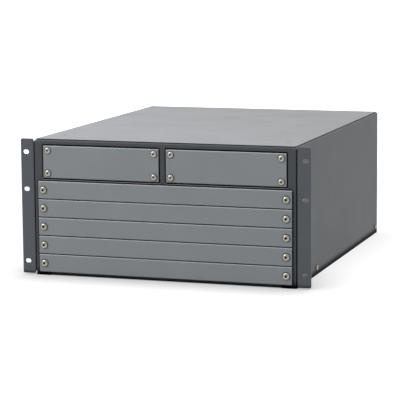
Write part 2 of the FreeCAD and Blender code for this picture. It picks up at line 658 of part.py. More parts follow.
def bay_partition():
    """Wall between the bays, standing on a folded foot and notched round the top rail."""
    left = -SHEET / 2
    wall = folded((left, left + INNER_FLANGE, FRAME_BACK + SHEET, BULKHEAD_FRONT, SHELF_TOP, SHELL_TOP - FIT),
                  ("left", "bottom"), SHEET, BEND, outer=False)
    half = RAIL_WIDTH / 2 + FIT
    notch = block(left - SHEET, left + 2 * SHEET, RAIL_Y - half, RAIL_Y + half,
                  SHELL_TOP - RAIL_LIP - FIT, BODY_HEIGHT)
    under_frame = block(left - SHEET, left + 2 * SHEET, FRONT, FRONT + RETURN_FLANGE + FIT,
                        SHELL_TOP - SHEET - FIT, BODY_HEIGHT)
    return single(wall.cut([notch, under_frame]))


def top_rail():
    """Channel across the body under the lid; its web stops at the shell's flanges."""
    rail = folded((-INNER_SIDE, INNER_SIDE, RAIL_Y - RAIL_WIDTH / 2, RAIL_Y + RAIL_WIDTH / 2,
                   SHELL_TOP - RAIL_LIP, SHELL_TOP), ("front", "back", "top"), SHEET, BEND, outer=False)
    cuts = flange_notches(RAIL_Y - RAIL_WIDTH, RAIL_Y + RAIL_WIDTH) + lid_clearance_holes()
    return single(rail.cut(cuts))


# ---- Card cage ---------------------------------------------------------------------------------------
def cage_side(side):
    """Channel beside the cards; the guides clip to its face and its foot is welded to the pan."""
    wall = folded((CAGE_FACE, CAGE_FACE + CAGE_FOOT, CAGE_FRONT, BULKHEAD_FRONT, SHEET, SHELF_BOTTOM),
                  ("left", "top", "bottom"), SHEET, BEND, outer=False)
    return on_side(single(wall), side)


def card_guide(side, z):
    """Grooved strip for a card's edge, flared at its front."""
    x0 = CAGE_FACE - GUIDE_DEPTH
    y0 = CAGE_FRONT + FIT
    y1 = BOARD_FRONT - GUIDE_END_GAP
    half = GUIDE_GROOVE / 2
    strip = block(x0, CAGE_FACE, y0, y1, z - GUIDE_HEIGHT / 2, z + GUIDE_HEIGHT / 2)
    groove = block(x0 - PAST, x0 + GUIDE_GROOVE_DEPTH, y0 - PAST, y1 + PAST, z - half, z + half)
    wide = GUIDE_HEIGHT / 2 - GUIDE_GROOVE / 2
    mouth = [Vector(x0 - PAST, y0, z - wide), Vector(x0 - PAST, y0 + GUIDE_LEAD, z - half),
             Vector(x0 - PAST, y0 + GUIDE_LEAD, z + half), Vector(x0 - PAST, y0, z + wide)]
    flare = flat_face(mouth).extrude(Vector(PAST + GUIDE_GROOVE_DEPTH, 0, 0))
    return on_side(single(strip.cut([groove, flare])), side)


def bulkhead():
    """Cross wall between the card cage and the supplies, with flanges to the walls and the pan."""
    wall = folded((-INNER_SIDE, INNER_SIDE, BULKHEAD_FRONT, BULKHEAD_FRONT + INNER_FLANGE,
                   SHEET, SHELL_TOP - FIT), ("front", "left", "right", "bottom"), SHEET, BEND, outer=False)
    ends = (BULKHEAD_FRONT - SHEET, BULKHEAD_FRONT + 2 * INNER_FLANGE)
    return single(wall.cut(pan_notches(*ends) + flange_notches(*ends)))


def board_size():
    """The backplane's half width, and its lower and upper edge."""
    return CAGE_FACE - BOARD_INSET, SHEET + BOARD_MARGIN, SHELF_BOTTOM - BOARD_MARGIN


def board_fixings():
    """On the bulkhead's front: where the backplane's standoffs stand."""
    half, low, high = board_size()
    return [Vector(x, BULKHEAD_FRONT, z) for x in (STANDOFF_INSET - half, 0, half - STANDOFF_INSET)
            for z in (low + STANDOFF_INSET, high - STANDOFF_INSET)]


def backplane():
    """Board that the cards plug into."""
    half, low, high = board_size()
    return block(-half, half, BOARD_FRONT, BOARD_FRONT + BOARD, low, high)


def backplane_standoffs():
    """Hexagonal pillars soldered to the backplane's rear, which hold it off the bulkhead."""
    return group([hexagon(STANDOFF_FLATS, STANDOFF, p, Vector(0, -1, 0)) for p in board_fixings()])


def connector(x, y_front, z):
    """Socket strip with a long pocket, open to the front."""
    width, depth, height = CONNECTOR
    body = block(x - width / 2, x + width / 2, y_front, y_front + depth, z - height / 2, z + height / 2)
    pocket_width, pocket_depth, pocket_height = CONNECTOR_POCKET
    pocket = block(x - pocket_width / 2, x + pocket_width / 2, y_front - PAST, y_front + pocket_depth,
                   z - pocket_height / 2, z + pocket_height / 2)
    return body.cut(pocket)


def slot_connectors():
    """Two sockets for each slot, on the backplane."""
    return group([connector(side * CONNECTOR_OFFSET, CONNECTOR_FRONT, z)
                  for z in SLOT_CENTERS for side in (-1, 1)])


def bay_connectors():
    """One socket for each bay, on the bulkhead."""
    return group([connector(side * BAY_CENTER_X, BULKHEAD_FRONT - CONNECTOR[1], BAY_CENTER_Z)
                  for side in (-1, 1)])


# ---- Supplies and the rear ---------------------------------------------------------------------------
def supply_screw_places(side):
    """On the pan's underside, below a supply's feet."""
    x = SUPPLY_WIDTH / 2 + SUPPLY_FOOT / 2
    rows = (SUPPLY_FRONT + 2 * SUPPLY_FOOT, SUPPLY_BACK - 2 * SUPPLY_FOOT)
    return [Vector(side * SUPPLY_CENTER + s * x, y, 0) for y in rows for s in (-1, 1)]


def power_supply(side):
    """Closed supply with a terminal recess at its front and a foot along each side."""
    x = SUPPLY_CENTER
    half = SUPPLY_WIDTH / 2
    housing = block(x - half, x + half, SUPPLY_FRONT, SUPPLY_BACK, SHEET, SHEET + SUPPLY_HEIGHT)
    upper_edges = [e for e in housing.Edges if abs(e.tangentAt(e.FirstParameter).y) > 0.5
                   and e.valueAt(e.FirstParameter).z > SUPPLY_HEIGHT / 2]
    housing = housing.makeChamfer(SUPPLY_EDGE, upper_edges)
    feet = block(x - half - SUPPLY_FOOT, x + half + SUPPLY_FOOT, SUPPLY_FRONT, SUPPLY_BACK, SHEET, 2 * SHEET)
    recess = block_at((x, SUPPLY_FRONT, TERMINAL_HEIGHT),
                      (TERMINAL_RECESS[0], 2 * TERMINAL_RECESS[1], TERMINAL_RECESS[2]))
    holes = [screw_hole(FLAT_SCREW, p, Vector(0, 0, 1), 5 * SHEET) for p in supply_screw_places(1)]
    return on_side(single(housing.fuse(feet).cut([recess] + holes)), side)


def inlet_outline(width, height, y0, y1):
    """Block about the inlet's centre with its two upper corners cut off."""
    w = width / 2
    h = height / 2
    c = INLET_CHAMFER
    points = [(-w, -h), (w, -h), (w, h - c), (w - c, h), (c - w, h), (-w, h - c)]
    outline = flat_face([Vector(INLET_CENTER + x, y0, POWER_HEIGHT + z) for x, z in points])
    return outline.extrude(Vector(0, y1 - y0, 0))


def power_inlet(side):
    """Mains inlet: flange on the panel's outside, body through it, chamfered socket for the plug."""
    width, height, thick = INLET_FLANGE
    face = BACK + thick
    flange = rounded_plate(INLET_CENTER, POWER_HEIGHT, width, height, INLET_CORNER, BACK, face)
    body = block_at((INLET_CENTER, BACK - INLET_BODY[2] / 2, POWER_HEIGHT), (INLET_BODY[0], INLET_BODY[2],
                                                                            INLET_BODY[1]))
    cavity = inlet_outline(INLET_CAVITY[0], INLET_CAVITY[1], face - INLET_CAVITY[2], face + thick)
    holes = [countersink(FLAT_SCREW, p, Vector(0, 1, 0), 3 * thick) for p in inlet_screw_places(1)]
    return on_side(single(flange.fuse(body).cut([cavity] + holes)), side)


def inlet_pins():
    """Three flat blades on the floor of each inlet's socket."""
    floor = BACK + INLET_FLANGE[2] - INLET_CAVITY[2]
    places = ((-BLADE_SPACING, -BLADE_OFFSET), (0, BLADE_OFFSET), (BLADE_SPACING, -BLADE_OFFSET))
    blades = []
    for side in (-1, 1):
        for x, z in places:
            center = (side * INLET_CENTER + x, floor + BLADE[2] / 2, POWER_HEIGHT + z)
            blade = block_at(center, (BLADE[0], BLADE[2], BLADE[1]))
            tip = [e for e in blade.Edges if abs(e.valueAt(e.FirstParameter).y - floor - BLADE[2]) < TOLERANCE
                   and abs(e.valueAt(e.LastParameter).y - floor - BLADE[2]) < TOLERANCE]
            blades.append(blade.makeChamfer(BLADE[0] / 4, tip))
    return group(blades)


def switch_frame(side):
    """Bezel and body of a rocker switch, with blind holes for the rocker's pivots."""
    width, height, thick = SWITCH_BEZEL
    face = BACK + thick
    center = Vector(SWITCH_CENTER, 0, POWER_HEIGHT)
    bezel = bevelled_plate(center.x, center.z, width, height, SWITCH_WALL, BACK, face, thick / 3)
    body = block_at((center.x, BACK - SWITCH_BODY[2] / 2, center.z),
                    (SWITCH_BODY[0], SWITCH_BODY[2], SWITCH_BODY[1]))
    half_x, half_z = rocker_room()
    cavity = block(center.x - half_x, center.x + half_x, face - SWITCH_CAVITY_DEPTH, face + thick,
                   center.z - half_z, center.z + half_z)
    pivot = cylinder(PIVOT_RADIUS + PIVOT_PLAY, 2 * (half_x + PIVOT_LENGTH),
                     Vector(center.x - half_x - PIVOT_LENGTH, PIVOT_Y, center.z), Vector(1, 0, 0))
    return on_side(single(bezel.fuse(body).cut([cavity, pivot])), side)


def rocker_room():
    """Half width and half height of the space that a rocker turns in."""
    return SWITCH_BODY[0] / 2 - SWITCH_WALL, SWITCH_BODY[1] / 2 - SWITCH_WALL / 2


def rocker(side):
    """Rocker with two flat halves that slope up from its middle, its lower end pressed in."""
    half_x, half_z = rocker_room()
    radius = half_z - ROCKER_PLAY
    width = 2 * (half_x - ROCKER_PLAY)
    slope = math.radians(ROCKER_TILT)
    # the crown's ends lie on the circle that the rocker's ends turn on
    climb = ROCKER_VALLEY * math.cos(slope)
    end = math.sqrt(radius ** 2 - climb ** 2)
    tip_z = end * math.cos(slope) - ROCKER_VALLEY * math.sin(slope) * math.cos(slope)
    tip_y = math.sqrt(radius ** 2 - tip_z ** 2)
    low = math.radians(-ROCKER_SKIRT)
    foot = (radius * math.cos(low), radius * math.sin(low))
    side_mid = (math.atan2(tip_y, tip_z) + low) / 2
    mid = (radius * math.cos(side_mid), radius * math.sin(side_mid))

    def at(z, y):
        return Vector(-width / 2, y, z)

    outline = [
        Part.makeLine(at(-tip_z, tip_y), at(0, ROCKER_VALLEY)),
        Part.makeLine(at(0, ROCKER_VALLEY), at(tip_z, tip_y)),
        Part.Arc(at(tip_z, tip_y), at(*mid), at(*foot)).toShape(),
        Part.makeLine(at(*foot), at(foot[0] / 2, -ROCKER_DEPTH)),
        Part.makeLine(at(foot[0] / 2, -ROCKER_DEPTH), at(-foot[0] / 2, -ROCKER_DEPTH)),
        Part.makeLine(at(-foot[0] / 2, -ROCKER_DEPTH), at(-foot[0], foot[1])),
        Part.Arc(at(-foot[0], foot[1]), at(-mid[0], mid[1]), at(-tip_z, tip_y)).toShape(),
    ]
    body = Part.Face(Part.Wire(outline)).extrude(Vector(width, 0, 0))
    reach = half_x + PIVOT_LENGTH - ROCKER_PLAY
    pivot = cylinder(PIVOT_RADIUS, 2 * reach, Vector(-reach, 0, 0), Vector(1, 0, 0))
    key = single(body.fuse(pivot))
    key.rotate(Vector(0, 0, 0), Vector(1, 0, 0), -ROCKER_TILT)
    key.translate(Vector(side * SWITCH_CENTER, PIVOT_Y, POWER_HEIGHT))
    return key


def ground_stud():
    """Stud through the rear panel, with a hexagonal head inside and an undercut at the nut."""
    base = Vector(0, BACK - SHEET, STUD_HEIGHT)
    head = hexagon(2 * (STUD_RADIUS + NUT_WALL), NUT_HEIGHT / 2, base, Vector(0, -1, 0))
    shaft = cylinder(STUD_RADIUS, SHEET + STUD_LENGTH, base, Vector(0, 1, 0))
    width, depth = STUD_UNDERCUT
    at_nut = Vector(0, BACK + NUT_HEIGHT, STUD_HEIGHT)
    ring = cylinder(STUD_RADIUS + depth, width, at_nut, Vector(0, 1, 0))
    ring = ring.cut(cylinder(STUD_RADIUS - depth, width, at_nut, Vector(0, 1, 0)))
    return single(head.fuse(shaft).cut(ring))


def ground_nut():
    return pressed_nut((STUD_RADIUS,), Vector(0, BACK, STUD_HEIGHT), Vector(0, 1, 0))


# ---- Fastener groups ---------------------------------------------------------------------------------
def domed(places, screw, direction):
    return [domed_screw(screw, p, direction) for p in places]


def fasteners():
    """Name and shape of each group of like fasteners."""
    forward = Vector(0, -1, 0)
    rearward = Vector(0, 1, 0)
    wall_screws = []
    ear_screws = []
    rear_screws = []
    inlet_screws = []
    floor_screws = []
    for side in (-1, 1):
        out = Vector(side, 0, 0)
        wall_screws += domed(side_screw_places(side), SIDE_SCREW, out)
        ear_screws += domed(ear_screw_places(side), SIDE_SCREW, out)
        rear_screws += [flat_screw(FLAT_SCREW, p, out) for p in rear_screw_places(side)]
        inlet_screws += [flat_screw(FLAT_SCREW, p, rearward) for p in inlet_screw_places(side)]
        floor_screws += [flat_screw(FLAT_SCREW, p, Vector(0, 0, -1)) for p in supply_screw_places(side)]
    post_back = FRAME_BACK + SHEET
    bay_nuts = [pressed_nut(BAY_SCREW, Vector(p.x, post_back, p.z), rearward) for p in bay_screw_places()]
    slot_nuts = [pressed_nut(SLOT_SCREW, Vector(p.x, FRAME_BACK, p.z), rearward) for p in slot_screw_places()]
    return {
        "bay_screws": domed(bay_screw_places(), BAY_SCREW, forward),
        "slot_screws": domed(slot_screw_places(), SLOT_SCREW, forward),
        "side_screws": wall_screws,
        "ear_screws": ear_screws,
        "rear_panel_screws": rear_screws,
        "inlet_screws": inlet_screws,
        "lid_screws": [flat_screw(FLAT_SCREW, p, Vector(0, 0, 1)) for p in lid_screw_places()],
        "floor_screws": floor_screws,
        "bay_nuts": bay_nuts,
        "slot_nuts": slot_nuts,
    }


# ---- Build -------------------------------------------------------------------------------------------
def main():
    pieces = {
        "chassis_shell": chassis_shell(),
        "lid": lid(),
        "bottom_pan": bottom_pan(),
        "rear_panel": rear_panel(),
        "bay_post_center": bay_post_center(),
        "bay_shelf": bay_shelf(),
        "bay_partition": bay_partition(),
        "top_rail": top_rail(),
        "bulkhead": bulkhead(),
        "backplane": backplane(),
        "backplane_standoffs": backplane_standoffs(),
        "slot_connectors": slot_connectors(),
        "bay_connectors": bay_connectors(),
        "inlet_pins": inlet_pins(),
        "ground_stud": ground_stud(),
        "ground_nut": ground_nut(),
    }
    for name, side in SIDES.items():
        pieces["rack_ear_" + name] = rack_ear(side)
        pieces["bay_panel_" + name] = bay_panel(side)
        pieces["bay_post_" + name] = bay_post(side)
        pieces["cage_side_" + name] = cage_side(side)
        pieces["power_supply_" + name] = power_supply(side)
        pieces["power_inlet_" + name] = power_inlet(side)
        pieces["switch_frame_" + name] = switch_frame(side)
        pieces["rocker_" + name] = rocker(side)
        for i, z in enumerate(SLOT_CENTERS):
            pieces["card_guide_%s_%d" % (name, i + 1)] = card_guide(side, z)
    for i in range(SLOT_COUNT):
        pieces["slot_panel_%d" % (i + 1)] = slot_panel(i)
    for name, solids in fasteners().items():
        pieces[name] = group(solids)
    for name, shape in pieces.items():
        export(name, shape)


main()
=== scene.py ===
"""Dresses the modular switch chassis: paints, platings, mouldings, screws, marks and studio."""
import json
import logging
import math
from dataclasses import dataclass
from enum import Enum

import bmesh
import bpy
from mathutils import Matrix, Vector


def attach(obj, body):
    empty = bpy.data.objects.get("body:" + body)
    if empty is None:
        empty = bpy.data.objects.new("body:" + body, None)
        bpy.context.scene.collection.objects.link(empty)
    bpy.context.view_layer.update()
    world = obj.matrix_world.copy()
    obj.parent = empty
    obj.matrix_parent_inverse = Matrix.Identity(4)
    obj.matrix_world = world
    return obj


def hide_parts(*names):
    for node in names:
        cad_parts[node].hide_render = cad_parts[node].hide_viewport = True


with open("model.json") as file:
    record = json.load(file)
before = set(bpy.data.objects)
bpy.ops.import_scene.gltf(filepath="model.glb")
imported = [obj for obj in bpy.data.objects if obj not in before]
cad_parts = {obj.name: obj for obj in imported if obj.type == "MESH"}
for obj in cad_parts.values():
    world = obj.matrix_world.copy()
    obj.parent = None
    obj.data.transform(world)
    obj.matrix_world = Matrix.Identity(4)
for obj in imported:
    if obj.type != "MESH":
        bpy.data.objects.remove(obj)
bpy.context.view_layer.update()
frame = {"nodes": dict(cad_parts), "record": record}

log = logging.getLogger("chassis")
logging.basicConfig(level=logging.INFO, format="%(name)s: %(message)s")

Color = tuple[float, float, float]
Triple = tuple[float, float, float]
Socket = bpy.types.NodeSocket
MM = 0.001
SEED = 7                               # of every random draw
CHASSIS = "chassis"                    # the body that everything but the rockers rides
ROCKERS = ("rocker_left", "rocker_right")
WHITE = (1.0, 1.0, 1.0, 1.0)
SHARP_FROM = math.radians(28)          # edges bent by more than this stay sharp
MERGE_WITHIN = 0.002 * MM              # corners this close are one


# ---- Node helpers ------------------------------------------------------------------------------
class Tree:
    """A node tree with short calls for adding and joining nodes."""

    def __init__(self, tree: bpy.types.NodeTree) -> None:
        """Wrap an existing tree."""
        self.tree = tree

    @classmethod
    def fresh(cls, owner: bpy.types.Material | bpy.types.World) -> "Tree":
        """Empty the node tree of a material or a world.

        Args:
            owner: The material or the world.

        Returns:
            Its tree, without nodes.
        """
        owner.use_nodes = True
        owner.node_tree.nodes.clear()
        return cls(owner.node_tree)

    def add(self, kind: str, inputs: dict | None = None, **props: object) -> bpy.types.Node:
        """Add a node.

        Args:
            kind: The node's type name.
            inputs: Socket name or index to a value, or to an output socket to join.
            props: The node's own properties.

        Returns:
            The new node.
        """
        node = self.tree.nodes.new(kind)
        for key, value in props.items():
            setattr(node, key, value)
        for key, value in (inputs or {}).items():
            if isinstance(value, Socket):
                self.tree.links.new(value, node.inputs[key])
            else:
                node.inputs[key].default_value = value
        return node

    def join(self, start: Socket, end: Socket) -> None:
        """Join an output to an input."""
        self.tree.links.new(start, end)

    def place(self, group: bpy.types.NodeTree, inputs: dict) -> bpy.types.Node:
        """Place a node group with its own values and return its node."""
        return self.add("ShaderNodeGroup", inputs, node_tree=group)

    def math(self, operation: str, *values: float | Socket) -> Socket:
        """Add a Math node on numbers or sockets and return its output."""
        return self.add("ShaderNodeMath", dict(enumerate(values)), operation=operation).outputs[0]

    def without(self, value: Socket) -> Socket:
        """Return one less a value."""
        return self.math("SUBTRACT", 1.0, value)

    def remap(self, value: Socket, low: float, high: float, to_low: float,
              to_high: float) -> Socket:
        """Map a range of values to another one, held at its ends.

        Args:
            value: What is mapped.
            low: Start of the range that comes in.
            high: End of the range that comes in.
            to_low: What the start becomes.
            to_high: What the end becomes.

        Returns:
            The mapped value.
        """
        ends = {0: value, 1: low, 2: high, 3: to_low, 4: to_high}
        return self.add("ShaderNodeMapRange", ends).outputs[0]

    def blend(self, factor: float | Socket, first: Color | Socket,
              second: Color | Socket) -> Socket:
        """Mix two colours.

        Args:
            factor: How much of the second.
            first: A colour or a socket.
            second: A colour or a socket.

        Returns:
            The mixed colour.
        """
        first, second = (color if isinstance(color, Socket) else (*color, 1.0)
                         for color in (first, second))
        node = self.add("ShaderNodeMix", data_type="RGBA", blend_type="MIX")
        for index, value in ((0, factor), (6, first), (7, second)):
            if isinstance(value, Socket):
                self.join(value, node.inputs[index])
            else:
                node.inputs[index].default_value = value
        return node.outputs[2]


def new_group(name: str, inputs: dict[str, tuple[str, float | None]],
              outputs: tuple[str, ...]) -> tuple[Tree, bpy.types.Node, bpy.types.Node]:
    """Start a shader node group.

    Args:
        name: The group's name.
        inputs: Input name to its socket type and default.
        outputs: Names of the outputs, each a number.

    Returns:
        The tree, the group's input node and its output node.
    """
    group = bpy.data.node_groups.new(name, "ShaderNodeTree")
    for label, (kind, default) in inputs.items():
        socket = group.interface.new_socket(label, in_out="INPUT", socket_type=kind)
        if default is not None:
            socket.default_value = default
    for label in outputs:
        group.interface.new_socket(label, in_out="OUTPUT", socket_type="NodeSocketFloat")
    tree = Tree(group)
    return tree, tree.add("NodeGroupInput"), tree.add("NodeGroupOutput")


class SharedEffects:
    """The node groups that the finishes share, each built once."""

    VECTOR = ("NodeSocketVector", None)
    MASK_SAMPLES = 8

    def __init__(self) -> None:
        """Build every group."""
        self.grain = self._grain()
        self.wear_and_edge_light = self._wear_and_edge_light()
        self.dust_and_sheen = self._dust_and_sheen()
        self.painted_gap_shade = self._painted_gap_shade()

    @classmethod
    def _grain(cls) -> bpy.types.NodeTree:
        """Fine paint texture with soft clouds of tone.

        Returns:
            The group: Height for bump, Tone around 0.5 for colour and sheen.
        """
        fine_share, coarse_share, coarse_scale = 0.7, 0.3, 0.31
        tree, given, out = new_group(
            "grain", {"Vector": cls.VECTOR, "Grain": ("NodeSocketFloat", 1600.0),
                      "Cloud": ("NodeSocketFloat", 14.0)}, ("Height", "Tone"))
        vector, scale = given.outputs["Vector"], given.outputs["Grain"]
        fine = tree.add("ShaderNodeTexNoise", {"Vector": vector, "Scale": scale, "Detail": 2.0,
                                               "Roughness": 0.6})
        coarse = tree.add("ShaderNodeTexNoise", {
            "Vector": vector, "Scale": tree.math("MULTIPLY", scale, coarse_scale), "Detail": 1.0})
        height = tree.math("ADD", tree.math("MULTIPLY", fine.outputs[0], fine_share),
                           tree.math("MULTIPLY", coarse.outputs[0], coarse_share))
        cloud = tree.add("ShaderNodeTexNoise", {
            "Vector": vector, "Scale": given.outputs["Cloud"], "Detail": 4.0, "Roughness": 0.62,
            "Distortion": 0.4})
        tree.join(height, out.inputs["Height"])
        tree.join(cloud.outputs[0], out.inputs["Tone"])
        return tree.tree

    @classmethod
    def _wear_and_edge_light(cls) -> bpy.types.NodeTree:
        """Masks of the convex edges: rubbed ones, and upper and lower ones for painted light.

        Returns:
            The group: Mask from 0 on flats to 1 on rubbed edges, an upper mask to 1 on edges
            that look up, for a painted highlight, and a lower mask to 1 on edges that look down,
            for a painted shade.
        """
        edge_width = 1.3 * MM
        flat, bent = 0.999, 0.975      # how well the rounded normal agrees with the face's
        level, sloping = 0.05, 0.25    # the rounded normal's height, from level to sloping
        tree, given, out = new_group(
            "edge_wear_and_light", {"Vector": cls.VECTOR, "Breakup": ("NodeSocketFloat", 90.0),
                          "Gain": ("NodeSocketFloat", 3.0), "PaintedEdgeLight": ("NodeSocketFloat", 0.0)},
            ("Mask", "PaintedHighlight", "PaintedShade"))
        rounded = tree.add("ShaderNodeBevel", {"Radius": edge_width}, samples=cls.MASK_SAMPLES)
        plain = tree.add("ShaderNodeNewGeometry")
        agrees = tree.add("ShaderNodeVectorMath", {0: rounded.outputs[0],
                                                   1: plain.outputs["Normal"]},
                          operation="DOT_PRODUCT").outputs["Value"]
        lean = tree.math("MULTIPLY", tree.without(agrees), given.outputs["Gain"])
        noise = tree.add("ShaderNodeTexNoise", {
            "Vector": given.outputs["Vector"], "Scale": given.outputs["Breakup"], "Detail": 5.0,
            "Roughness": 0.7})
        patchy = tree.remap(noise.outputs[0], 0.38, 0.62, 0.15, 1.0)
        mask = tree.add("ShaderNodeMath", {0: lean, 1: patchy}, operation="MULTIPLY",
                        use_clamp=True)
        tree.join(mask.outputs[0], out.inputs["Mask"])
        looks = tree.add("ShaderNodeSeparateXYZ", {0: rounded.outputs[0]})
        # Strength of the painted highlight and painted shade, on edges only.
        edge = tree.math("MULTIPLY", tree.remap(agrees, flat, bent, 0.0, 1.0),
                         given.outputs["PaintedEdgeLight"])
        # Painted highlight on edges that look up, painted shade on edges that look down.
        for name, way in (("PaintedHighlight", 1.0), ("PaintedShade", -1.0)):
            facing = tree.remap(looks.outputs["Z"], level * way, sloping * way, 0.0, 1.0)
            tree.join(tree.math("MULTIPLY", facing, edge), out.inputs[name])
        return tree.tree

    @classmethod
    def _dust_and_sheen(cls) -> bpy.types.NodeTree:
        """Dust on faces that look up, or a painted sheen on them, thicker towards one side.

        Returns:
            The group: Mask from 0 to 1.
        """
        sloping, level = 0.5, 1.0      # the normal's height where dust or sheen starts and is full
        tree, given, out = new_group(
            "dust_and_sheen", {"Vector": cls.VECTOR, "Amount": ("NodeSocketFloat", 0.1),
                     "Lean": cls.VECTOR}, ("Mask",))
        geometry = tree.add("ShaderNodeNewGeometry")
        normal = tree.add("ShaderNodeSeparateXYZ", {0: geometry.outputs["Normal"]})
        up = tree.remap(normal.outputs["Z"], sloping, level, 0.0, 1.0)
        noise = tree.add("ShaderNodeTexNoise", {"Vector": given.outputs["Vector"], "Scale": 38.0,
                                                "Detail": 6.0, "Roughness": 0.7})
        patchy = tree.remap(noise.outputs[0], 0.3, 0.75, 0.86, 1.0)
        side = tree.add("ShaderNodeVectorMath", {0: given.outputs["Vector"],
                                                 1: given.outputs["Lean"]},
                        operation="DOT_PRODUCT")
        more = tree.remap(side.outputs["Value"], -1.0, 1.0, 0.0, 2.0)
        mask = tree.math("MULTIPLY", tree.math("MULTIPLY", up, patchy), given.outputs["Amount"])
        tree.join(tree.math("MULTIPLY", mask, more), out.inputs["Mask"])
        return tree.tree

    @classmethod
    def _painted_gap_shade(cls) -> bpy.types.NodeTree:
        """Mask of narrow gaps and inner corners, where shade is painted into the colour.

        Returns:
            The group: Mask of painted shade, from 0 in the open to 1 far into a gap.
        """
        tree, given, out = new_group(
            "painted_gap_shade", {"Reach": ("NodeSocketFloat", 6.0 * MM), "Open": ("NodeSocketFloat", 0.86),
                        "Shut": ("NodeSocketFloat", 0.56)}, ("Mask",))
        sky = tree.add("ShaderNodeAmbientOcclusion", {"Distance": given.outputs["Reach"]},
                       samples=cls.MASK_SAMPLES)
        ranged = tree.add("ShaderNodeMapRange", {0: sky.outputs["AO"], 1: given.outputs["Shut"],
                                                 2: given.outputs["Open"], 3: 1.0, 4: 0.0})
        tree.join(ranged.outputs[0], out.inputs["Mask"])
        return tree.tree


# ---- Finishes ----------------------------------------------------------------------------------
class Metalness(Enum):
    """Whether a finish is bare metal or covered."""

    COVERED = 0.0
    BARE = 1.0


TONE_LOW, TONE_HIGH = 0.3, 0.7         # where a cloud's tone mostly lies
PAINTED_SHADE_SHARE = 0.04                       # of the finish's own colour, under full painted shade
GAP_ROUGHNESS = 0.45                   # added deep in a gap
DUST_AND_SHEEN_ROUGHNESS = 0.1                   # added under full painted shade
ROUNDING_SAMPLES = 4


